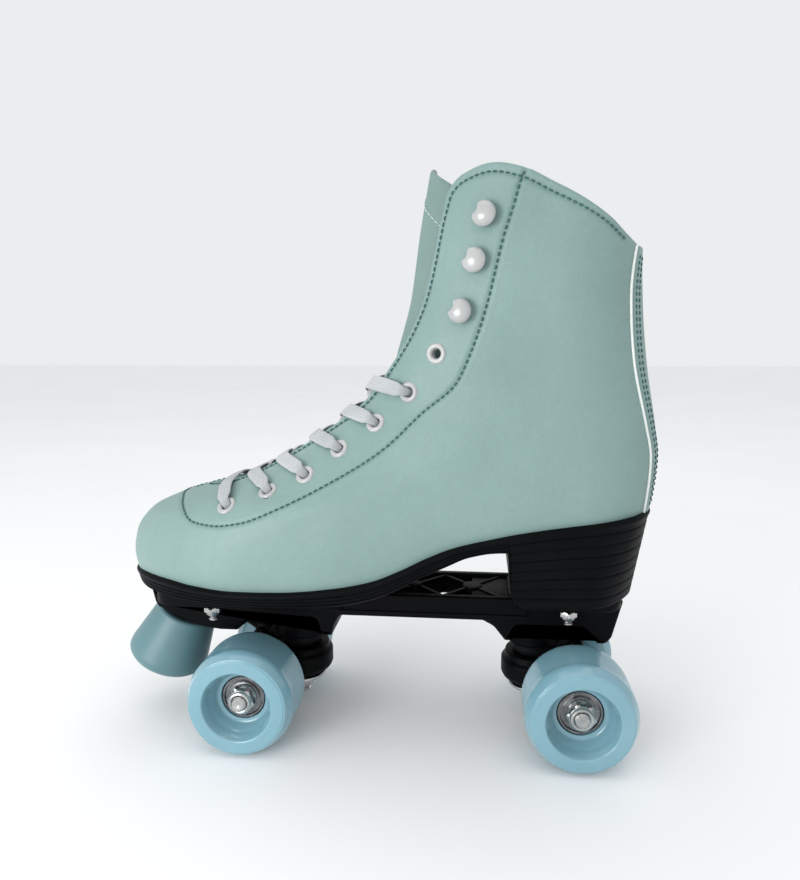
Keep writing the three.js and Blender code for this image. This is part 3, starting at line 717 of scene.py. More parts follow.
def cut_grid(turns, heights, keep):
    """The grid's part where keep is positive: turn and height of its points, and its faces."""
    rows, columns = len(heights), len(turns)
    spots = np.stack([np.tile(turns, rows), np.repeat(heights, columns)], -1)
    value = keep(spots[:, 0], spots[:, 1])
    faces = np.array(grid_faces(rows, columns, wrap_columns=True))
    pairs = np.vstack([faces[:, [0, 1]], faces[:, [1, 2]], faces[:, [2, 3]], faces[:, [3, 0]]])
    pairs = np.unique(np.sort(pairs, 1), axis=0)

    def crossings():
        sign = (value[pairs[:, 0]] > 0) & (value[pairs[:, 1]] < 0)
        other = (value[pairs[:, 1]] > 0) & (value[pairs[:, 0]] < 0)
        return np.vstack([pairs[sign], pairs[other][:, ::-1]])

    def spot_between(inside, outside):
        far = spots[outside].copy()
        gap = far[:, 0] - spots[inside][:, 0]
        far[:, 0] -= np.round(gap / (2 * math.pi)) * 2 * math.pi
        share = value[inside] / (value[inside] - value[outside])
        return spots[inside] + share[:, None] * (far - spots[inside]), share

    inside, outside = crossings().T
    place, share = spot_between(inside, outside)
    for close, index in ((share < 0.3, inside), (share > 0.7, outside)):
        spots[index[close]] = place[close]
        value[index[close]] = 0
    inside, outside = crossings().T
    place, _ = spot_between(inside, outside)
    between = {tuple(sorted(p)): len(spots) + i for i, p in enumerate(zip(inside, outside))}
    spots = np.vstack([spots, place])
    at_corner = value[faces]
    whole = (at_corner >= 0).all(1) & (at_corner > 0).any(1)
    made = faces[whole].tolist()
    mixed = (at_corner > 0).any(1) & (at_corner < 0).any(1)
    for face in faces[mixed].tolist():
        corners = []
        for a, b in zip(face, face[1:] + face[:1]):
            if value[a] >= 0:
                corners.append(a)
            middle = between.get((min(a, b), max(a, b)))
            if middle is not None:
                corners.append(middle)
        if len(corners) > 2:
            made.append(corners)
    used = sorted({v for face in made for v in face})
    renumber = dict(zip(used, range(len(used))))
    return spots[used], [tuple(renumber[v] for v in face) for face in made]


def edge_loops(faces):
    """The mesh's open edges as loops of points, in the faces' own direction."""
    directed = {(a, b) for face in faces for a, b in zip(face, face[1:] + face[:1])}
    following = {a: b for a, b in directed if (b, a) not in directed}
    loops = []
    while following:
        start = next(iter(following))
        loop = [start]
        while following.get(loop[-1]) is not None:
            step = following.pop(loop[-1])
            if step == start:
                break
            loop.append(step)
        loops.append(loop)
    return sorted(loops, key=len)


def smoothed_loop(values, times):
    for _ in range(times):
        values = (np.roll(values, 1, 0) + 2 * values + np.roll(values, -1, 0)) / 4
    return values


def outwards_of_edge(points, normals):
    """At each point of an edge loop, the direction along the surface and off its edge."""
    along = unit(np.roll(points, -1, 0) - np.roll(points, 1, 0))
    return unit(smoothed_loop(unit(np.cross(along, normals)), 6))


# ---------------------------------------------------------------- seams of the boot
def eyestay_seam():
    """The long seam from the collar, down behind the eyelets and round over the vamp."""
    side = [
        (-73.2, 278.3), (-71.3, 275), (-68, 263.8), (-63.8, 250.5), (-60.9, 238.4),
        (-57.6, 223.8), (-52.8, 207.7), (-48.4, 195.9), (-42.6, 184.1), (-26.5, 170),
        (-7.6, 152.3), (16.5, 137.0), (41.2, 124.6), (61.4, 116.8), (76, 114.6), (87, 115.2),
    ]
    over = [(96, 28.5), (99.4, 22.5), (102.1, 16), (104.9, 8.5), (106.2, 0)]
    line = []
    for x, z in side:
        line.append(on_boot(np.array(x), np.array(z), 1)[0])
    for x, y in over:
        z = height_over(x, y)
        line.append(on_boot(np.array(x), z, 1)[0] if y else surface(np.array(0.0), z))
    near = np.array(line)
    far = near[-2::-1].copy()
    far[:, 1] = 2 * centre_y(far[:, 0]) - far[:, 1]
    return spline(np.vstack([near, far]), 0.8)


def onto_boot(points):
    """The points moved onto the boot's surface, with the directions out of it."""
    side = np.where(points[:, 1] >= centre_y(points[:, 0]), 1, -1)
    x, z = points[:, 0], points[:, 2]
    ridge = front_line(z) - x < 12
    turn = np.where(
        ridge,
        turn_at_front(points[:, 1] - centre_y(x), z),
        turn_of(x, z, side),
    )
    return surface(turn, z), surface_normal(turn, z)


def stitch_shape(lines, length=None, gap=None, radius=None):
    """A row of short threads along each line of points and outward directions."""
    length = length or STITCH["length"]
    gap = gap or STITCH["gap"]
    radius = radius or STITCH["radius"]
    shape = Shape()
    spots = np.array([0, 0.1, 0.3, 0.7, 0.9, 1.0])
    swell = np.array([0.35, 0.8, 1, 1, 0.8, 0.35])
    lift = np.array([-0.75, 0.1, 0.5, 0.5, 0.1, -0.75]) * radius
    angle = np.arange(6) * math.pi / 3
    for points, normals in lines:
        at = run_lengths(points)
        count = int((at[-1] + gap) / (length + gap))
        spare = (at[-1] - count * (length + gap) + gap) / 2
        for k in range(count):
            place = spare + k * (length + gap) + length * spots
            middle = interpolated(place, at, points)
            out = unit(interpolated(place, at, normals))
            along = unit(np.gradient(middle, axis=0))
            side = np.cross(along, out)
            middle = middle + out * lift[:, None]
            ring = (
                side[:, None] * np.cos(angle)[None, :, None]
                + out[:, None] * np.sin(angle)[None, :, None] * 0.85
            ) * (swell * radius)[:, None, None]
            shape.add_shape(loft(middle[:, None] + ring))
    return shape


# ---------------------------------------------------------------- upper
def dents():
    """Where the skin is pulled in: centre, radius and depth."""
    made = []
    for side in (1, -1):
        for x, z in HOOKS:
            made.append((on_boot(np.array(x), np.array(z), side)[0], 8.5, 1.2))
        for x, z in EYELETS:
            made.append((on_boot(np.array(x), np.array(z), side)[0], 6.0, 0.45))
    return made


# soft folds at the ankle: two ends (x, z), width and depth
FOLDS = [
    ((-58, 214), (-84, 204), 4.5, 0.5),
    ((-50, 190), (-92, 186), 6.0, 0.55),
    ((-30, 166), (-60, 172), 5.0, 0.45),
    ((-104, 196), (-128, 204), 5.0, 0.45),
    ((-100, 172), (-130, 168), 6.0, 0.4),
    ((12, 128), (34, 108), 6.0, 0.35),
    ((44, 116), (56, 98), 5.0, 0.3),
]


def fold_depth(points):
    """How far soft folds push the skin in at each point."""
    depth = np.zeros(len(points))
    for (x1, z1), (x2, z2), width, deep in FOLDS:
        a, b = np.array([x1, z1], float), np.array([x2, z2], float)
        run = b - a
        place = points[:, [0, 2]] - a
        share = np.clip(place @ run / (run @ run), 0, 1)
        bow = 2.0 * np.sin(share * math.pi)
        away = np.abs(place @ np.array([-run[1], run[0]]) / np.linalg.norm(run) - bow)
        past = np.linalg.norm(place - share[:, None] * run, axis=1) - away
        fade = np.sin(np.clip(share * 0.9 + 0.05, 0, 1) * math.pi) * np.exp(-(past / 6) ** 2)
        sunk = np.exp(-((away / width) ** 2)) - 0.5 * np.exp(-((away / width / 2) ** 2))
        depth += deep * fade * sunk
    return depth


def seam_relief(points, lines):
    """How far the stitched seams pull the skin in at each point."""
    spots = np.vstack([line for line, _ in lines])
    tree = kdtree.KDTree(len(spots))
    for i, spot in enumerate(spots):
        tree.insert(spot, i)
    tree.balance()
    away = np.array([tree.find(p)[2] for p in points])
    sunk = SEAM_DEPTH * np.exp(-((away / SEAM_WIDTH) ** 2))
    raised = 0.16 * np.exp(-(((away - 2.4) / 1.3) ** 2))
    return sunk - raised


def soft_waves(points):
    """Slow unevenness of hand-lasted leather."""
    return np.array([noise.noise(Vector(p) / 26) * 0.32 + noise.noise(Vector(p) / 9) * 0.07
                     for p in points])


turns, heights = skin_grid(STEP)
spots, skin_faces = cut_grid(turns, heights, kept_part)
skin = surface(spots[:, 0], spots[:, 1])
skin_out = surface_normal(spots[:, 0], spots[:, 1])
sole_loop, top_loop = edge_loops(skin_faces)[-2:]
if skin[sole_loop, 2].mean() > skin[top_loop, 2].mean():
    sole_loop, top_loop = top_loop, sole_loop
edge_off = outwards_of_edge(skin[top_loop], skin_out[top_loop])


def edge_seam():
    """The seam inside the throat's and collar's edge, as runs that stop at the back strip."""
    edge = skin[top_loop]
    inset = 2.0 + 0.9 * smooth(258, 272, edge[:, 2])
    place = edge - edge_off * inset[:, None]
    behind = edge[:, 0] < back_line(edge[:, 2]) + 11
    start = int(np.argmax(behind))
    order = np.roll(np.arange(len(edge)), -start)
    order = order[~behind[order]]
    place, out = place[order], skin_out[top_loop][order]
    gap = np.linalg.norm(np.diff(place, axis=0), axis=1) > 0.02
    keep = np.concatenate([[True], gap])
    place, out = place[keep], out[keep]
    at, even = resampled(place, 0.8)
    place = interpolated(even, at, place)
    out = unit(interpolated(even, at, out))
    for _ in range(4):
        place[1:-1] = (place[:-2] + 2 * place[1:-1] + place[2:]) / 4
    return place, out


seam_over = eyestay_seam()
seams = [onto_boot(seam_over), edge_seam()]


pulled_in = seam_relief(skin, seams) + fold_depth(skin) + soft_waves(skin)
for centre, radius, depth in dents():
    away = np.linalg.norm(skin - centre, axis=1)
    pulled_in += depth * np.exp(-((away / radius) ** 2))
skin = skin - skin_out * pulled_in[:, None]

upper = Shape().add(skin, skin_faces)
edge = skin[top_loop]
rows = []
for k in range(9):
    angle = math.pi * k / 8
    rolled = edge_off * math.sin(angle) - skin_out[top_loop] * (1 - math.cos(angle))
    rows.append(edge + EDGE_ROLL * rolled)
rim = np.array(rows)
rim_faces = grid_faces(len(rim), len(top_loop), wrap_columns=True)
upper.add(rim, [face[::-1] for face in rim_faces])
piece("upper_leather", upper, mint, replaces=["upper"], sharp=None)


def edge_trim():
    """The pale lip of the lining, just inside the rolled edge all round the opening."""
    line = edge + edge_off * 1.25 - skin_out[top_loop] * 2.0
    at, even = resampled(line, 1.0)
    line = interpolated(even, at, line)
    return tube(line, 0.45, 8)


piece("edge_trim", edge_trim(), pale_thread, sharp=None)


def cloth_inside():
    """The lining, one skin's thickness inside the leather."""
    turns, heights = skin_grid(2.6)
    spots, faces = cut_grid(turns, heights, kept_part)
    out = surface_normal(spots[:, 0], spots[:, 1])
    points = surface(spots[:, 0], spots[:, 1]) - out * (SKIN + 0.05)
    ripple = np.array([noise.noise(Vector(p) / 11) * 0.35 for p in points])
    points -= out * np.abs(ripple)[:, None]
    return Shape().add(points, [face[::-1] for face in faces])


piece("boot_lining", cloth_inside(), lining, sharp=None)

stitching = stitch_shape(seams)
bartack = np.column_stack([np.linspace(96, 101, 12), np.zeros(12)])
for shift in (-2.2, 2.2):
    x, y = bartack[:, 0], bartack[:, 1] + shift
    z = height_over(x, np.abs(y))
    turn = turn_at_front(y, z)
    stitching.add_shape(stitch_shape([(surface(turn, z), surface_normal(turn, z))]))
piece("upper_stitches", stitching, teal_thread, sharp=None)


# ---------------------------------------------------------------- back strip and piping
def make_back_strip():
    """The panel up the back, a leather's thickness proud, its edges turned down."""
    z = np.linspace(119.5, 248.2, 150)
    first = turn_of(back_line(z) + strip_width(z), z, 1)
    across = np.linspace(0, 1, 61)
    turn = first[:, None] + (2 * math.pi - 2 * first[:, None]) * across
    level = np.repeat(z[:, None], len(across), 1)
    points = surface(turn, level)
    out = surface_normal(turn, level)
    from_edge = np.minimum(across, 1 - across) * 2 * strip_width(z)[:, None] * 1.5
    proud = 1.25 * rounded(from_edge / 1.3) - 0.25
    middle = np.abs(across - 0.5) * 2 * strip_width(z)[:, None] * 1.5
    for offset in (2.6, 4.6):
        proud = proud - 0.22 * np.exp(-(((from_edge - offset) / 0.7) ** 2))
    proud = proud + 0.25 * np.exp(-((middle / 2.5) ** 2))
    shape = points + out * proud[..., None]
    return loft(shape, closed=False, caps=False)


def strip_stitches():
    lines = []
    z = np.linspace(123, 245, 120)
    for side in (1, -1):
        for offset in (2.6, 4.9):
            x = back_line(z) + np.maximum(strip_width(z) - offset * 0.9, 0.6)
            lines.append(on_boot(x, z, side, np.full(len(z), 0.95)))
    return stitch_shape(lines)


def make_piping():
    shape = Shape()
    z = np.linspace(120.5, 248.2, 150)
    for side in (1, -1):
        x = back_line(z) + strip_width(z) + 0.3
        points, _ = on_boot(x, z, side, np.full(len(z), 0.45))
        shape.add_shape(tube(points, PIPING_RADIUS, 12))
    return shape


piece("back_strip", make_back_strip(), strip_mint, replaces=["back_stay"],
      sharp=None)
piece("back_piping", make_piping(), white_piping, sharp=None)
piece("back_stitches", strip_stitches(), teal_thread, sharp=None)

# ---------------------------------------------------------------- tongue
TONGUE_THICK = 3.4
TONGUE_UNDER = 9.8
TONGUE_LENGTH = 190
tongue_middle = through(
    (126, 9.8), (184, 9.8), (202, 3.2), (215, 0.8), (240, -2), (262, -3.6), (290, -5),
)
tongue_half = through((120, 17), (150, 20), (200, 21), (262, 24), (290, 24))


def tongue_spot(across, up):
    """y and height on the tongue, across from -1 to 1 and up from 0 to 1."""
    fine = np.linspace(100, 300, 4000)
    climb = np.concatenate([[0], np.cumsum(lean(front_line, fine)[:-1] * np.diff(fine))])
    top = 288.8 - 17 * np.abs(across) ** 1.2
    low = 124 - 2 * np.abs(across)
    first, last = np.interp(low, fine, climb), np.interp(top, fine, climb)
    z = np.interp(first + (last - first) * up, climb, fine)
    return across * tongue_half(z), z


def tongue_sheet(across, up, deeper):
    y, z = tongue_spot(across, up)
    tuck = smooth(4, throat_half(z) - 1, np.abs(y))
    under = tongue_middle(z) * (1 - tuck) + TONGUE_UNDER * tuck
    return on_front(y, z, -under - deeper)


def hem_drop(across):
    """How far the hem's seam lies under the tongue's top."""
    return 12 + 9 * np.abs(across)


def make_tongue():
    count = 45
    rows = np.concatenate([np.linspace(0, 0.985, 120), 1 - 0.015 * np.linspace(0.9, 0, 10) ** 2])
    edge = np.linspace(0, math.pi, 7)[1:-1]
    rings = []
    for up in rows:
        close = rounded((1 - up) * TONGUE_LENGTH / (TONGUE_THICK / 2))
        half = TONGUE_THICK / 2 * max(float(close), 0.12)
        across = np.linspace(-1, 1, count)
        under_top = (1 - up) * TONGUE_LENGTH
        hem = 0.35 * np.exp(-(((under_top - hem_drop(across)) / 0.9) ** 2))
        ribs = 0.14 * np.sin(across * 9) * smooth(0.2, 0.6, up)
        front, out = tongue_sheet(across, up, TONGUE_THICK / 2 - half + hem + ribs)
        behind = front - out * (2 * half - hem - ribs)[:, None]
        ring = [*front]
        for end, order in ((-1, 1), (0, -1)):
            corner = (front[end] + behind[end]) / 2
            off = unit(front[end] - front[-2 if end == -1 else 1])
            turn = edge if order == 1 else edge[::-1]
            arc = [corner + half * (off * math.sin(a) + out[end] * math.cos(a)) for a in turn]
            ring += arc
            if order == 1:
                ring += [*behind[::-1]]
        rings.append(ring)
    return loft(rings)


def tongue_seams():
    """The hem across the tongue's top and a line inside each edge."""
    across = np.linspace(-0.93, 0.93, 90)
    points, out = tongue_sheet(across, 1 - hem_drop(across) / TONGUE_LENGTH, 0.0)
    lines = [(points, out)]
    up = np.linspace(0.35, 1 - float(hem_drop(0.93)) / TONGUE_LENGTH, 150)
    for side in (-0.93, 0.93):
        lines.append(tongue_sheet(np.full(150, side), up, 0.0))
    return stitch_shape(lines)


tongue = piece("tongue_padded", make_tongue(), tongue_look,
               replaces=["tongue"], sharp=None)
piece("tongue_stitches", tongue_seams(), pale_thread, sharp=None)


# ---------------------------------------------------------------- insole
def make_insole():
    rise = 8.3
    low_x, high_x = -132.5, 128
    turn = np.linspace(0, math.pi, 90)
    x = (low_x + high_x) / 2 - (high_x - low_x) / 2 * np.cos(turn)
    rings = []
    for here in x:
        base = sole_line(here) + rise
        half = max(float(half_width(here, base + 1, 4.4)), 0.6)
        across = np.sin(np.linspace(-math.pi / 2, math.pi / 2, 31)) * half
        share = np.abs(across) / half
        crown = 1.6 * smooth(0.5, 1.0, share) + 0.6 * np.sqrt(np.clip(1 - share**2, 0, 1))
        top = np.column_stack([np.full(31, here), centre_y(here) + across, base + 2.4 + crown])
        under = np.column_stack([np.full(31, here), centre_y(here) + across[::-1], np.full(31, base)])
        rings.append(np.vstack([top, under]))
    return loft(rings)


insole = piece("insole_sock", make_insole(), insole_look, replaces=["insole"],
               sharp=60)


# ---------------------------------------------------------------- eyelets and hooks
EYELET_PROFILE = [
    (2.35, -3.4), (2.35, -0.4), (2.5, 0.25), (2.95, 0.8), (3.6, 1.05), (4.25, 0.95), (4.75, 0.55),
    (5.0, 0.0), (4.95, -0.5), (3.0, -0.6), (2.9, -3.4),
]


def make_eyelets():
    shape = Shape()
    for side in (1, -1):
        for x, z in EYELETS:
            place, out = on_boot(np.array(x), np.array(z), side, -0.35)
            ring = turned(EYELET_PROFILE, 40, loop=True)
            shape.add_shape(ring.moved(place, out))
    return shape


piece("eyelets", make_eyelets(), enamel, sharp=50)

HOOK_RADIUS = 5.7
BITE = {"away": 7.75, "radius": 4.0, "angle": math.radians(28)}
# share of the dome's outline, plain radius where there is no dome, and height
HOOK_ROWS = [
    (0, 0.05, 0.25), (0, 4.0, 0.25), (0, 4.2, 0.6), (0, 4.0, 1.2), (0, 2.6, 1.5), (0, 2.2, 2.2),
    (0, 2.3, 3.2), (0.45, 0, 3.45), (0.8, 0, 3.5), (0.95, 0, 3.65), (1.0, 0, 4.0), (0.995, 0, 4.4),
    (0.95, 0, 5.1), (0.86, 0, 5.8), (0.72, 0, 6.45), (0.54, 0, 6.95), (0.33, 0, 7.22),
    (0.14, 0, 7.3), (0.01, 0, 7.31),
]


def hook_outline(angle):
    """The dome's radius by angle: a circle with a bite out of it, its corners softened."""
    reach = []
    for a in angle:
        turn = a - BITE["angle"]
        across = BITE["away"] * math.sin(turn)
        radius = HOOK_RADIUS
        if abs(across) < BITE["radius"] and math.cos(turn) > 0:
            near = BITE["away"] * math.cos(turn) - math.sqrt(BITE["radius"] ** 2 - across**2)
            radius = min(radius, near)
        reach.append(radius)
    return smoothed_loop(np.array(reach), 1)


def make_hook(x, z, side):
    """A hook whose bite faces up and to the toe."""
    angle = np.arange(72) * math.pi / 36
    outline = hook_outline(angle)
    rings = []
    for share, radius, height in HOOK_ROWS:
        reach = outline * share if share else np.full(72, radius)
        level = np.full(72, height)
        rings.append(np.column_stack([reach * np.cos(angle), reach * np.sin(angle), level]))
    shape = loft(rings)
    place, out = on_boot(np.array(x), np.array(z), side, -0.6)
    to_toe = unit(np.array([1.0, 0, 0]) - out[0] * out)
    up = np.cross(out, to_toe) * (1 if np.cross(out, to_toe)[2] > 0 else -1)
    made = Shape()
    made.points = place + shape.points @ np.array([to_toe, up, out])
    made.faces = shape.faces if side < 0 else [face[::-1] for face in shape.faces]
    return made


for label, side in (("left", 1), ("right", -1)):
    for i, (x, z) in enumerate(HOOKS, 1):
        name = f"lace_hook_{label}_{i}"
        piece(f"hook_{label}_{i}", make_hook(x, z, side), enamel,
              replaces=[name], sharp=50)


# ---------------------------------------------------------------- lace
LACE_ABOVE = 1.0
LACE_UNDER = -4.6


def ribbon(knots, step=0.7):
    """A flat ribbed lace through knots of (place, outward direction, width share)."""
    places = np.array([k[0] for k in knots], float)
    at = run_lengths(places)
    tangent = np.gradient(places, at, axis=0)
    even = np.linspace(0, at[-1], max(8, int(at[-1] / step)))
    i = np.clip(np.searchsorted(at, even, side="right") - 1, 0, len(at) - 2)
    h = (at[i + 1] - at[i])[:, None]
    u = ((even - at[i]) / (at[i + 1] - at[i]))[:, None]
    v = 1 - u
    middle = places[i] * v * v * (1 + 2 * u) + places[i + 1] * u * u * (1 + 2 * v)
    middle = middle + h * u * v * (tangent[i] * v - tangent[i + 1] * u)
    outs = np.array([k[1] for k in knots], float)
    out = unit(interpolated(even, at, outs))
    share = through(*zip(at, [k[2] for k in knots]))(even)
    along = unit(np.gradient(middle, axis=0))
    side = unit(np.cross(along, out))
    out = np.cross(side, along)
    across = np.linspace(-1, 1, 8 * LACE_RIBS + 1)
    body = np.sqrt(1 - np.abs(across) ** 5 * 0.97)
    rib = 0.36 * np.abs(np.cos(across * math.pi * LACE_RIBS / 2)) ** 0.5
    rings = []
    for p, s, o, w in zip(middle, side, out, share):
        wide = LACE_WIDTH * w / 2
        thick = LACE_THICKNESS / 2 * (1 + 0.9 * (1 - w))
        cup = 0.9 * (1 - w) * across**2
        top = thick * body * (0.64 + rib) - cup
        under = -thick * body * (0.64 + rib) - cup
        upper_side = p + np.outer(across * wide, s) + np.outer(top, o)
        lower_side = p + np.outer(across[::-1] * wide, s) + np.outer(under[::-1], o)
        rings.append(np.vstack([upper_side, lower_side[1:-1]]))
    return loft(rings)


def edge_knot(i, share, side, proud, width):
    """A knot at the facing's edge, between eyelets i and i+1."""
    z = EYELETS[i][1] * (1 - share) + EYELETS[i + 1][1] * share + 7.5
    return (*on_front(side * (throat_half(z) + 0.4), np.array(z), proud), width)


def eyelet_knots(i, side, towards):
    """From inside an eyelet up through it and onto the facing, leaning towards a place."""
    x, z = EYELETS[i]
    deep, out = on_boot(np.array(x), np.array(z), side, -5.0)
    place, _ = on_boot(np.array(x), np.array(z), side, 0.0)
    lean_to = unit(towards - place)
    lean_to = unit(lean_to - (lean_to @ out) * out)
    throat_of_hole = place + lean_to * 0.9 + out * 0.3
    over_rim = place + lean_to * 2.9 + out * (LACE_ABOVE + 1.35)
    beyond = place + lean_to * 6.4 + out * (LACE_ABOVE + 0.55)
    inwards = unit(out - lean_to * 0.9)
    return [
        (deep - lean_to * 0.6, unit(-lean_to), 0.5),
        (throat_of_hole, unit(out * 0.4 - lean_to), 0.52),
        (over_rim, inwards * 0.3 + out * 0.7, 0.66),
        (beyond, out, 0.92),
    ]


def crossing_strand(i, side):
    """From inside at the far eyelet i, across the throat and into eyelet i + 1 from outside."""
    over_edge = edge_knot(i, 0.72, side, LACE_ABOVE, 1.0)
    middle_height = (EYELETS[i][1] + EYELETS[i + 1][1]) / 2 + 10.5
    layer = 0.0 if side > 0 else -1.5
    middle = (*on_front(np.array(0.0), np.array(middle_height), layer - 0.6), 1.0)
    under_edge = edge_knot(i, 0.28, -side, LACE_UNDER + 0.6, 1.0)
    tucked = edge_knot(i, 0.2, -side, LACE_UNDER - 1.2, 0.9)
    x, z = EYELETS[i]
    inside = (*on_boot(np.array(x - 2), np.array(z + 2), -side, LACE_UNDER - 1.6), 0.8)
    knots = eyelet_knots(i + 1, side, over_edge[0])
    return [*knots, over_edge, middle, under_edge, tucked, inside]


def bar_strand():
    """Across the lowest pair, outside the facings."""
    z = EYELETS[0][1] + 8.6
    centre = (*on_front(np.array(0.0), np.array(z), 1.3), 0.94)
    edges = {}
    for side in (1, -1):
        height = z - 1.4
        edges[side] = (*on_front(side * (throat_half(height) + 1.5), np.array(height), 1.3), 0.95)
    near = eyelet_knots(0, 1, edges[1][0])
    far = eyelet_knots(0, -1, edges[-1][0])
    return [*near, edges[1], centre, edges[-1], *far[::-1]]


def make_lace():
    shape = ribbon(bar_strand())
    for i in range(LACED - 1):
        for side in (1, -1):
            shape.add_shape(ribbon(crossing_strand(i, side)))
    return shape


piece("lace_ribbon", make_lace(), lace_look, replaces=["lace"], sharp=None)

# ---------------------------------------------------------------- outsole
SOLE_LOW = 76.0
sole_bottom = through(
    (-146, SOLE_LOW), (-77.5, SOLE_LOW), (-73, 78.2), (-70.2, 83), (-69.2, 92), (-68, 103.6),
    (-62, 103.4), (-50, 101.2), (-38, 96), (-25, 90), (-14, 84.2), (-2, 79.8), (14, 76.8),
    (30, SOLE_LOW), (122, SOLE_LOW), (136, 76.8),
)
HEEL_FRONT = -69
HEEL_LAYERS = 8
FRONT_LINES = (0.4, 0.6, 0.8)


def sole_wall(x, share):
    """How far the sole's wall stands out of its outline, by x and share of its height down."""
    top, bottom = sole_line(x), sole_bottom(x)
    deep = (top - bottom) * share
    heel = smooth(HEEL_FRONT + 1.5, HEEL_FRONT - 1.5, x)
    low_front = smooth(0.86, 1.0, share) * 1.1 * (1 - heel)
    taper = heel * (0.05 * deep + 0.15 * deep * smooth(-105, -138, x)) + low_front
    height = top - deep
    groove = np.zeros(np.broadcast(x, share).shape)
    for k in range(1, HEEL_LAYERS):
        line = top + (SOLE_LOW - top) * k / HEEL_LAYERS
        groove = groove + heel * 0.55 * np.exp(-(((height - line) / 0.42) ** 2))
    for line in FRONT_LINES:
        away = (share - line) * (top - bottom)
        groove = groove + (1 - heel) * 0.45 * np.exp(-((away / 0.28) ** 2))
    welt = 0.5 * np.exp(-((deep - 1.6) / 1.3) ** 2)
    tuck = 1.5 * smooth(114, 132, x) * share**2 + 1.2 * smooth(-128, -142, x) * (1 - 0.85 * share)
    lip = 1.2 * (1 - rounded(deep / 1.2))
    foot = 0.9 * (1 - rounded((top - bottom - deep) / 1.0))
    return -taper - groove + welt - lip - foot - tuck


def make_outsole():
    front = float(front_line(84)) + TOE_PROUD
    back = float(back_line(118)) - OUTSOLE_PROUD
    round_ = np.linspace(0, math.pi, 330)
    x = back + (front - back) * (1 + np.cos(round_)) / 2
    x = np.unique(np.concatenate([x, np.linspace(-78, -64, 36)]))[::-1]
    level = np.maximum(sole_line(x), 84)
    ends = rounded((front - x) / front_round(86)) * rounded((x - back) / back_round(level))
    y = (full_width(x, level) + OUTSOLE_PROUD) * ends
    outline = np.vstack([
        np.column_stack([x, y + centre_y(x)]),
        np.column_stack([x[-2:0:-1], centre_y(x[-2:0:-1]) - y[-2:0:-1]]),
    ])
    along = unit(np.roll(outline, -1, 0) - np.roll(outline, 1, 0))
    off = np.stack([along[:, 1], -along[:, 0]], -1)
    off = smoothed_loop(off, 3)
    share = np.concatenate([np.linspace(0, 0.06, 8)[:-1], np.linspace(0.06, 0.94, 96),
                            np.linspace(0.94, 1, 8)[1:]])
    rows = []
    for s in share:
        proud = sole_wall(outline[:, 0], np.full(len(outline), s))
        xy = outline + off * proud[:, None]
        z = sole_line(outline[:, 0]) * (1 - s) + sole_bottom(outline[:, 0]) * s
        rows.append(np.column_stack([xy, z]))
    shape = Shape().add(rows, grid_faces(len(rows), len(outline), wrap_columns=True))
    count, half = len(outline), len(x) - 1
    for base, flip in ((0, False), ((len(rows) - 1) * count, True)):
        for j in range(half):
            a, b = base + j, base + j + 1
            c, d = base + (count - j - 1) % count, base + (count - j) % count
            face = [a, b, c, d] if c != b else [a, b, d]
            face = list(dict.fromkeys(face))
            if len(face) > 2:
                shape.faces.append(tuple(face[::-1] if flip else face))
    shape.faces = [face[::-1] for face in shape.faces]
    return shape


piece("outsole_layers", make_outsole(), sole_look, replaces=["outsole"], sharp=40)


# ---------------------------------------------------------------- places from the frame
def box_mm(node):
    low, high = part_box(node)
    return np.array(low) / MM, np.array(high) / MM


def centre_of(node):
    low, high = box_mm(node)
    return (low + high) / 2


FRONT_AXLE_X = float(centre_of("front_axle")[0])
REAR_AXLE_X = float(centre_of("rear_axle")[0])
AXLE_Z = float(centre_of("front_axle")[2])
# label, axle x, and 1 where the truck's pivot is ahead of its axle or -1 where behind
TRUCKS = (("front", FRONT_AXLE_X, 1), ("rear", REAR_AXLE_X, -1))
KINGPIN_X = -20
KINGPIN_RADIUS = 4
RING = {"radius": 16.6, "bore": 6.2, "low": 26.2, "high": 40.2}
PIVOT = {"x": 11, "z": 54, "pin": 4}
TILT = math.atan2(PIVOT["z"] - (RING["low"] + RING["high"]) / 2, PIVOT["x"] - KINGPIN_X)
CHASSIS_TOP = 75.7
PLATE_LOW = {"front": 67.4, "rear": 71.3}


# ---------------------------------------------------------------- fasteners
def hex_nut(across, bore, height, face=0.45, segments=72):
    """A nut with its corners chamfered and a bevelled hole."""
    corner = across / math.sqrt(3)
    profile = [
        (bore + 0.5, 0), (across / 2 * 0.97, 0), (corner, face), (corner, height - face),
        (across / 2 * 0.97, height), (bore + 0.5, height), (bore, height - 0.5), (bore, 0.5),
    ]
    limit = hexagon(across)
    return turned(profile, segments, limit, loop=True)


def hex_head(across, height, dome=0.5, segments=72):
    """A bolt head: chamfered on top, its middle slightly dished."""
    corner = across / math.sqrt(3)
    profile = [
        (0.02, 0), (corner, 0), (corner, height - 0.8), (across / 2 * 0.96, height),
        (across / 2 * 0.7, height), (across / 2 * 0.62, height - dome), (0.02, height - dome),
    ]
    return turned(profile, segments, hexagon(across))


def threaded(radius, low, high, pitch=1.0, depth=0.4, segments=32, tip=0.7):
    """A threaded end: fine ridges, with a chamfered tip at the top."""
    profile = [(0.02, low), (radius, low)]
    turns = max(1, int((high - tip - low) / pitch))
    for k in range(turns):
        base = low + k * pitch
        profile += [(radius - depth, base + 0.45 * pitch), (radius, base + 0.85 * pitch)]
    profile += [(radius, high - tip), (radius - tip, high), (0.9, high), (0.3, high - 0.35)]
    profile += [(0.02, high - 0.35)]
    return turned(profile, segments)


def washer_shape(bore, radius, low, high, edge=0.3, segments=64):
    profile = [
        (bore, low + edge), (bore + edge, low), (radius - edge, low), (radius, low + edge),
        (radius, high - edge), (radius - edge, high), (bore + edge, high), (bore, high - edge),
    ]
    return turned(profile, segments, loop=True)


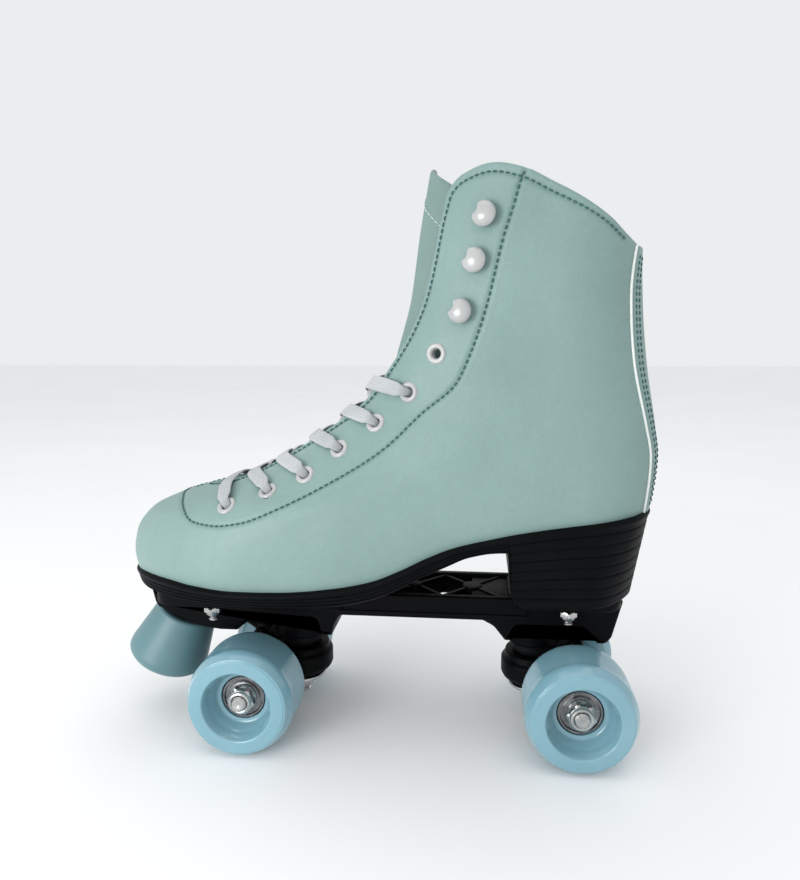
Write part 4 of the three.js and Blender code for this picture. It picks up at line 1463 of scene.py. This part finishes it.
MOUNT_BOLT_RADIUS = 2.4
MOUNT_HEAD_DEPTH = 3.0
MOUNT_HEAD = [(0.02, -2.4), (4.9, -2.4), (4.6, -1.3), (3.4, -0.4), (1.6, 0), (0.02, 0)]
MOUNT_NUT_ACROSS = 8
MOUNT_COLLAR = [(2.6, 0.3), (2.9, 0), (3.3, 0), (3.7, 0.5), (3.8, 1.3), (2.6, 1.3)]
MOUNT_COLLAR_HEIGHT = 1.2


def make_mount_bolt(node):
    low, high = box_mm(node)
    x, y = centre_of(node)[:2]
    shank = threaded(MOUNT_BOLT_RADIUS, MOUNT_HEAD_DEPTH - high[2], -low[2])
    shape = shank.moved(direction=(0, 0, -1))
    shape.add_shape(turned([(r, high[2] + h) for r, h in MOUNT_HEAD], 40))
    return shape.moved((x, y, 0))


def make_mount_nut(node):
    low, high = box_mm(node)
    tall = high[2] - low[2] - MOUNT_COLLAR_HEIGHT
    shape = hex_nut(MOUNT_NUT_ACROSS, 2.6, tall).moved((0, 0, MOUNT_COLLAR_HEIGHT))
    shape.add_shape(turned(MOUNT_COLLAR, 40, loop=True))
    return shape.moved((*centre_of(node)[:2], low[2]))


for where in ("front_left", "front_right", "rear_left", "rear_right"):
    bolt, nut = f"mount_bolt_{where}", f"mount_nut_{where}"
    piece(f"bolt_{where}", make_mount_bolt(bolt), zinc, replaces=[bolt])
    piece(f"nut_{where}", make_mount_nut(nut), zinc, replaces=[nut])

# ---------------------------------------------------------------- wheels
WHEEL_PROFILE = [
    (11.3, 2.0, 0), (15.5, 0.3, 0.6), (22.6, 0.0, 2.5), (27, 4.6, 4), (27, 26.4, 5.2),
    (24.4, 31.1, 1.6), (23.7, 31.15, 0.3), (23.35, 31.5, 0.3), (17.5, 32.0, 1.0),
    (15.7, 26.6, 3.0), (13.2, 21.9, 2.4), (11.35, 21.6, 0.3), (11.35, 14.0, 0), (9.0, 14.0, 0),
    (9.0, 9.3, 0), (11.35, 9.3, 0),
]
TREAD_RADIUS = 27
TREAD_GROOVES = 34
GROOVE_DEPTH = 0.09
STEPS_PER_GROOVE = 4


def make_wheel():
    """The tyre: a fine step round its face, a dish at the hub, fine turned lines on the tread."""
    profile = fillet(WHEEL_PROFILE, 5)
    tread = profile[:, 0] > TREAD_RADIUS - 0.01
    start, end = np.flatnonzero(tread)[[0, -1]]
    rows = [*profile[: start + 1]]
    steps = TREAD_GROOVES * STEPS_PER_GROOVE
    for k in range(1, steps):
        share = k / steps
        height = profile[start, 1] * (1 - share) + profile[end, 1] * share
        fade = smooth(0, 0.1, share) * smooth(1, 0.9, share)
        wave = 1 - math.cos(2 * math.pi * share * TREAD_GROOVES)
        rows.append([TREAD_RADIUS - GROOVE_DEPTH / 2 * fade * wave, height])
    rows += [*profile[end:]]
    return turned(rows, WHEEL_SEGMENTS, loop=True)


BEARING_PROFILE = [
    (9.6, 0.35), (9.75, 0.0), (10.7, 0.0), (11.0, 0.35), (11.0, 6.65), (10.7, 7.0), (9.75, 7.0),
    (9.6, 6.65), (9.45, 6.35), (8.9, 6.45), (8.3, 6.3), (7.2, 6.3), (6.8, 6.5), (6.4, 6.35),
    (6.2, 6.4), (6.1, 6.85), (5.9, 7.0), (4.5, 7.0), (4.25, 6.75), (4.25, 0.25), (4.5, 0.0),
    (5.9, 0.0), (6.1, 0.15), (6.2, 0.6), (9.45, 0.65),
]


def make_bearing():
    return turned(BEARING_PROFILE, 96, loop=True)


AXLE_NUT_SPIN = 0.35  # so that its flats don't stand square


def make_axle_nut():
    """A locking nut: washer face, chamfered hexagon and the rolled collar over its ring."""
    shape = washer_shape(4.2, 7.0, 0, 0.8)
    shape.add_shape(hex_nut(12.6, 4.2, 4.3, 0.6).moved((0, 0, 0.7)))
    collar = [(4.0, 4.6), (5.85, 4.6), (5.8, 5.5), (5.35, 6.15), (4.7, 6.4), (4.05, 6.2)]
    shape.add_shape(turned(collar, 72, loop=True))
    return shape


def make_axle(node):
    """The axle along Y, threaded where it passes its nuts."""
    low, high = box_mm(node)
    half = (high - low)[1] / 2
    shape = rod(3.9, -38, 38, 0.2, 40)
    for direction in ((0, 0, 1), (0, 0, -1)):
        shape.add_shape(threaded(3.85, 37.8, half, 1.0, 0.35, 40, 0.8).moved(direction=direction))
    return shape.moved(centre_of(node), (0, 1, 0))


def inner_face(node, axle_x, side):
    """Where the node's face nearest the skate's middle crosses the axle's line."""
    low, high = box_mm(node)
    return np.array([axle_x, low[1] if side > 0 else high[1], AXLE_Z])


for end, axle_x, way in TRUCKS:
    piece(f"{end}_axle_rod", make_axle(f"{end}_axle"), zinc, f"{end}_truck",
          [f"{end}_axle"])
    for hand, side in (("left", 1), ("right", -1)):
        out = (0, side, 0)
        body = f"{end}_{hand}_wheel_set"
        node = f"{end}_{hand}_wheel"
        tyre = make_wheel().moved(inner_face(node, axle_x, side), out)
        piece(f"{end}_{hand}_tyre", tyre, wheel_look, body, [node], sharp=50)
        for place in ("outer", "inner"):
            node = f"{end}_{hand}_bearing_{place}"
            race = make_bearing().moved(inner_face(node, axle_x, side), out)
            piece(f"{end}_{hand}_race_{place}", race, steel, body, [node],
                  sharp=30)
        node = f"{end}_{hand}_axle_nut"
        nut = make_axle_nut().moved(inner_face(node, axle_x, side), out, AXLE_NUT_SPIN)
        piece(f"{end}_{hand}_lock_nut", nut, zinc, f"{end}_truck", [node], sharp=30)

# ---------------------------------------------------------------- toe stop
STOP_TILT = math.radians(26.2)
STOP_AXIS = (-math.sin(STOP_TILT), 0, math.cos(STOP_TILT))
STOP_FOOT = (121.7, 0, 28.1)
STOP_PROFILE = [
    (6.4, 9.0, 0), (6.9, 1.2, 1), (8.5, 0, 0.6), (19.6, 0, 1.2), (21.5, 2.2, 1.2),
    (21.4, 5.2, 1.5), (16.3, 30.4, 1.0), (15.4, 31.2, 0.4), (5.0, 31.2, 0), (4.3, 30.4, 0),
    (4.3, 14.2, 0), (6.4, 14.2, 0),
]

stop = turned(fillet(STOP_PROFILE, 5), 112, loop=True)
piece("toe_stop_cone", stop.moved(STOP_FOOT, STOP_AXIS), stop_look,
      replaces=["toe_stop"], sharp=50)
stop_bolt = hex_head(10.6, 5.6).moved((0, 0, 13.5), (0, 0, -1))
stop_bolt.add_shape(rod(3.8, 13.3, 50, 0.6, 32))
piece("toe_stop_screw", stop_bolt.moved(STOP_FOOT, STOP_AXIS), zinc,
      replaces=["toe_stop_bolt"], sharp=30)

# ---------------------------------------------------------------- trucks
CUSHION_PROFILE_HIGH = [
    (4.6, 40.6, 0), (10.2, 40.5, 1.2), (11.7, 43.0, 2), (11.7, 47.0, 2), (10.4, 50.9, 1.2),
    (4.6, 51.0, 0),
]
CUSHION_PROFILE_LOW = [
    (4.6, 22.6, 0), (10.8, 22.6, 0.6), (11.7, 23.6, 0.8), (11.7, 24.9, 0.8), (10.8, 25.9, 0.6),
    (4.6, 25.9, 0),
]


def truck_turned(shape, x, way):
    """A shape drawn with its truck's pivot ahead, stood at x and turned to face its truck's way."""
    return shape.moved((x, 0, 0), (0, 0, 1), 0 if way > 0 else math.pi)


def cross_rod(radius, low, high, edge, segments):
    """A rod along the axle's line, drawn at x = 0."""
    return rod(radius, low, high, edge, segments).moved((0, 0, AXLE_Z), (0, 1, 0))


def pivot_line(axle_x, way):
    """The pivot's place and the direction its truck tilts about."""
    place = (axle_x + way * PIVOT["x"], 0, PIVOT["z"])
    return place, (way * math.cos(TILT), 0, math.sin(TILT))


def make_hanger():
    """Kingpin ring, arm, pivot pin and the axle housing with its ribs, in one moulding."""
    arm = prism(
        fillet([
            (-7.6, RING["low"] + 1, 1), (-6.6, 22, 2), (4, 18.8, 3), (8.4, 22, 2.5), (8.6, 33, 4),
            (8, 42, 3), (5.6, 46.6, 1.5), (1, 49.4, 1.5), (-4.6, 43.6, 2), (-7.6, 40, 1),
            (KINGPIN_X + 8, RING["high"] - 1, 0.5),
        ], 5), -8, 8, 1.4, "xz",
    )
    ring = turned(fillet([
        (0.02, RING["low"], 0), (15.6, RING["low"], 1), (RING["radius"], RING["low"] + 2.2, 1.4),
        (RING["radius"], RING["high"] - 4.5, 1.5), (14.8, RING["high"] - 3, 1),
        (14.4, RING["high"], 1.0), (0.02, RING["high"], 0),
    ], 4, closed=False), 72)
    housing = cross_rod(8.4, -16.6, 16.6, 0.8, 48)
    shoulder = cross_rod(6.3, -19.1, 19.1, 0.3, 40)
    ribs = [cross_rod(9.2, y - 0.9, y + 0.9, 0.5, 48) for y in (-15.2, -11.2, 11.2, 15.2)]
    line = pivot_line(0, 1)
    pin = rod(PIVOT["pin"], -13, 3.6, 1.4, 36).moved(*line)
    neck = rod(5.6, -15, -8, 1.2, 36, 4.6).moved(*line)
    bore = rod(RING["bore"], RING["low"] - 3, RING["high"] + 3, 0.1, 40)
    ring = union([ring], [bore]).moved((KINGPIN_X, 0, 0))
    arm = union([arm], [rod(RING["radius"] - 3, 10, 60, 0.1, 40).moved((KINGPIN_X, 0, 0))])
    axle_bore = cross_rod(4.3, -40, 40, 0.1, 40)
    return union([ring, arm, housing, shoulder, *ribs, pin, neck], [axle_bore])


def make_kingpin():
    shape = rod(KINGPIN_RADIUS, 19, 70.4, 0.2, 40)
    shape.add_shape(threaded(KINGPIN_RADIUS, -20, -11, 1.0, 0.4, 40).moved(direction=(0, 0, -1)))
    return shape.add_shape(hex_head(12.8, 5.2).moved((0, 0, 70)))


def make_kingpin_nut():
    """A lock nut, its rolled collar downwards."""
    shape = hex_nut(11, 4.3, 4.6, 0.6).moved((0, 0, 16.0))
    collar = [(4.05, 16.3), (4.4, 14.7), (4.9, 14.8), (5.3, 15.5), (5.35, 16.3)]
    return shape.add_shape(turned(collar, 60, loop=True))


def make_cup_washer():
    return turned(fillet([
        (4.3, 20.9, 0), (11.8, 20.9, 0.5), (12.6, 21.5, 0.5), (12.6, 23.0, 0.3), (12.0, 23.0, 0.2),
        (11.6, 22.3, 0.3), (4.3, 22.3, 0),
    ], 4), 72, loop=True)


def make_pivot_bush():
    return turned(fillet([
        (4.5, -2, 0.3), (5.8, -2, 0.6), (6.2, -1.2, 0.6), (6.2, 4.4, 0.4), (0.02, 4.4, 0),
        (0.02, 3.9, 0), (4.4, 3.9, 0.3),
    ], 4), 56, loop=True)


# each cushion's profile, and the heights of its end at the skate and its end at the truck
CUSHIONS = (
    ("lower", CUSHION_PROFILE_LOW, 22.9, 25.8),
    ("upper", CUSHION_PROFILE_HIGH, 50.6, 41.0),
)


for end, axle_x, way in TRUCKS:
    truck = f"{end}_truck"
    kingpin_x = axle_x + way * KINGPIN_X
    piece(f"{end}_hanger_arm", truck_turned(make_hanger(), axle_x, way), nylon, truck,
          [f"{end}_hanger"], sharp=38)
    for name, node, shape in (
        ("kingpin_bolt", "kingpin", make_kingpin()),
        ("kingpin_lock_nut", "kingpin_nut", make_kingpin_nut()),
        ("cup_washer", "cushion_washer", make_cup_washer()),
    ):
        piece(f"{end}_{name}", truck_turned(shape, kingpin_x, way), zinc,
              replaces=[f"{end}_{node}"], sharp=30)
    for place, profile, rest, far in CUSHIONS:
        bush = truck_turned(turned(fillet(profile, 4), 64, loop=True), kingpin_x, way)
        ends = ((kingpin_x * MM, 0, rest * MM), (kingpin_x * MM, 0, far * MM))
        piece(f"{end}_{place}_bush", bush, cushion_look,
              replaces=[f"{end}_{place}_cushion"], blend=("skate", truck, *ends))
    piece(f"{end}_pivot_bush", make_pivot_bush().moved(*pivot_line(axle_x, way)), cushion_look,
          replaces=[f"{end}_pivot_cup"])

# ---------------------------------------------------------------- chassis
MOUNT_PLACES = ((83.8, 22), (83.8, -22), (-99.2, 21), (-99.2, -21))
BLOCK_HALF = 15  # half the thickness of the nose and tail blocks
BLOCK_EDGE = 2.2
PLATE_CORNER = 16
RAIL = {"front": 31, "back": -79, "middle": 17.75, "low": 64, "high": 75.4}
BRACE = {"places": (24, -6, -36), "run": 32, "reach": 16.5, "low": 65, "high": 74.6}
FIN_PLACES = (-11, -5.5, 5.5, 11)
FIN_OUTLINE = [
    (-32, 72, 0), (-33, 66, 2), (-26, 52, 3), (-14, 52, 3), (-4, 60, 3), (10, 66, 2), (10, 72, 0),
]


def plate(front, back, half, low, high, edge):
    corner = min(half, PLATE_CORNER)
    return prism(fillet([
        (front, half, corner), (back, half, corner), (back, -half, corner), (front, -half, corner),
    ], 9), low, high, edge)


def truck_seat(axle_x, way):
    """The kingpin's boss and the fins beside it, as separate overlapping solids."""
    at = axle_x + way * KINGPIN_X
    boss = turned(fillet([
        (0.02, 46.5, 0), (13.4, 46.5, 0.8), (14.5, 47.6, 0.8), (14.5, 60, 2), (15.2, 72, 0),
        (0.02, 72, 0),
    ], 4, closed=False), 72).moved((at, 0, 0))
    fins = []
    for y in FIN_PLACES:
        line = [(axle_x + way * u, v) for u, v in fillet(FIN_OUTLINE, 3)]
        fins.append(prism(line, y - 0.9, y + 0.9, 0.4, "xz"))
    return [boss, *fins]


def truck_bores(axle_x, way):
    """Bores for the kingpin, its head, the upper cushion and the pivot cup."""
    at = axle_x + way * KINGPIN_X
    return [
        rod(KINGPIN_RADIUS + 0.3, 40, 80, 0.1, 32).moved((at, 0, 0)),
        rod(8.8, 69.5, 80, 0.1, 40).moved((at, 0, 0)),
        rod(12.5, 40, 51.3, 0.1, 56).moved((at, 0, 0)),
        rod(6.5, -12, 4.7, 0.1, 48).moved(*pivot_line(axle_x, way)),
    ]


def brace(x1, y1, x2, y2, half=1.1):
    run = unit(np.array([x2 - x1, y2 - y1]))
    side = np.array([-run[1], run[0]]) * half
    a, b = np.array([x1, y1]), np.array([x2, y2])
    return prism([a - side, b - side, b + side, a + side], BRACE["low"], BRACE["high"], 0.4)


def rail_bar(low, high, y, half, radii, edge, steps):
    """A bar along one rail, its upper and lower corners rounded by the two radii."""
    front, back = RAIL["front"], RAIL["back"]
    upper, lower = radii
    outline = [(front, high, upper), (back, high, upper), (back, low, lower), (front, low, lower)]
    return prism(fillet(outline, steps), y - half, y + half, edge, "xz")


def middle_rails():
    """Two rails with a lip along each one's foot, crossed braces and round bosses between."""
    made = []
    low, high = RAIL["low"], RAIL["high"]
    for y in (-RAIL["middle"], RAIL["middle"]):
        made.append(rail_bar(low + 0.6, high, y, 2.25, (0, 1.5), 0.9, 4))
        made.append(rail_bar(low, low + 3, y, 3.0, (0.8, 0.8), 0.6, 3))
    reach = BRACE["reach"]
    for x in BRACE["places"]:
        made.append(brace(x + 1, -reach, x + 1 - BRACE["run"], reach))
        made.append(brace(x + 1, reach, x + 1 - BRACE["run"], -reach))
    for x, radius in ((9.5, 3.4), (-20.5, 3.4), (-51, 5.0)):
        made.append(rod(radius, BRACE["low"], 75.0, 0.6, 40).moved((x, 0, 0)))
    pad = fillet([(-44, 8, 1), (-58, 8, 1), (-58, -8, 1), (-44, -8, 1)], 3)
    made.append(prism(pad, 66, 68.5))
    return made


def make_chassis():
    front_plate = plate(117.5, 12, 26, PLATE_LOW["front"], CHASSIS_TOP, 1.2)
    rear_plate = plate(-70, -127, 25, PLATE_LOW["rear"], CHASSIS_TOP, 1.0)
    nose = prism(fillet([
        (121.8, 74, 1), (119.9, 65.4, 3), (118.4, 62.4, 1.5), (114.4, 60.6, 2),
        (108.7, 56.9, 6), (100, 53.6, 8), (92, 51.4, 4), (84, 50.5, 3), (74.6, 50.5, 2),
        (69.6, 55, 2), (66, 58, 2), (32, 58, 3),
        (30, 49.5, 2), (23, 49.5, 1), (22, 55, 4), (19, 60.4, 5), (12, 64, 3), (12, 74, 0),
    ], 4), -BLOCK_HALF, BLOCK_HALF, BLOCK_EDGE, "xz")
    tail = prism(fillet([
        (-127.8, 74, 1), (-122.6, 54.5, 2), (-120.6, 51.6, 1.5), (-118.5, 50.6, 1.5),
        (-115.6, 50.6, 1.5), (-110.6, 55, 2), (-107, 58, 2), (-74, 58, 3), (-72, 50.5, 2),
        (-68.3, 50.5, 1.5), (-62.4, 58, 8), (-51, 64, 4), (-51, 74, 0),
    ], 4), -BLOCK_HALF, BLOCK_HALF, BLOCK_EDGE, "xz")
    stop_boss = rod(14, 31.6, 44, 0.8, 64).moved(STOP_FOOT, STOP_AXIS)
    seats = [s for _, x, way in TRUCKS for s in truck_seat(x, way)]
    bores = [s for _, x, way in TRUCKS for s in truck_bores(x, way)]
    bores += [rod(2.9, 50, 90, 0.1, 24).moved((x, y, 0)) for x, y in MOUNT_PLACES]
    bores.append(rod(4.1, 28, 54, 0.1, 32).moved(STOP_FOOT, STOP_AXIS))
    box = [(160, -70), (160, 70), (-160, 70), (-160, -70)]
    bores.append(prism(box, CHASSIS_TOP, 130, 0.1))
    return union([front_plate, rear_plate, nose, tail, stop_boss, *middle_rails(), *seats], bores)


piece("chassis_plate", make_chassis(), nylon, replaces=["chassis"], sharp=38)


# ---------------------------------------------------------------- camera, light, floor
WORLD_LIGHT = 0.86
FLOOR_SIZE = 9.0


def set_camera():
    data = bpy.data.cameras.new("camera")
    data.lens = LENS
    data.sensor_width = SENSOR_WIDTH
    data.shift_x, data.shift_y = CAMERA_SHIFT
    data.clip_start, data.clip_end = 0.01, 20
    obj = bpy.data.objects.new("camera", data)
    bpy.context.scene.collection.objects.link(obj)
    right, forward = Vector(CAMERA_RIGHT).normalized(), Vector(CAMERA_FORWARD).normalized()
    up = right.cross(forward)
    turn = Matrix((right, up, -forward)).transposed()
    obj.matrix_world = Matrix.Translation(CAMERA_PLACE) @ turn.to_4x4()
    bpy.context.scene.camera = obj


def area_light(name, place, aim, size, power):
    data = bpy.data.lights.new(name, "AREA")
    data.shape = "DISK"
    data.size = size
    data.energy = power
    obj = bpy.data.objects.new(name, data)
    bpy.context.scene.collection.objects.link(obj)
    direction = Vector(aim) - Vector(place)
    turn = direction.to_track_quat("-Z", "Y").to_matrix().to_4x4()
    obj.matrix_world = Matrix.Translation(place) @ turn


def studio():
    world = bpy.data.worlds.new("studio")
    world.use_nodes = True
    backdrop = world.node_tree.nodes["Background"]
    backdrop.inputs["Color"].default_value = (0.97, 0.985, 1.0, 1)
    backdrop.inputs["Strength"].default_value = WORLD_LIGHT
    bpy.context.scene.world = world
    area_light("key", (0.38, 0.56, 0.16), (0.09, 0, 0.08), 0.4, 2.6)
    area_light("top", (0.1, 0.1, 1.7), (0, 0, 0.1), 1.8, 6.0)
    mesh = bpy.data.meshes.new("floor")
    size = FLOOR_SIZE
    corners = [(-size, -size, 0), (size, -size, 0), (size, size, 0), (-size, size, 0)]
    mesh.from_pydata(corners, [], [(0, 1, 2, 3)])
    floor = bpy.data.objects.new("floor", mesh)
    look = Look("pale_floor", Roughness=0.75, Specular_IOR_Level=0.2)
    look.colour(look.colours(look.noise(3), (0.3, (0.92, 0.92, 0.92)), (0.7, (0.95, 0.95, 0.95))))
    mesh.materials.append(look.material)
    bpy.context.scene.collection.objects.link(floor)


set_camera()
studio()
bpy.context.scene.view_settings.view_transform = "Standard"
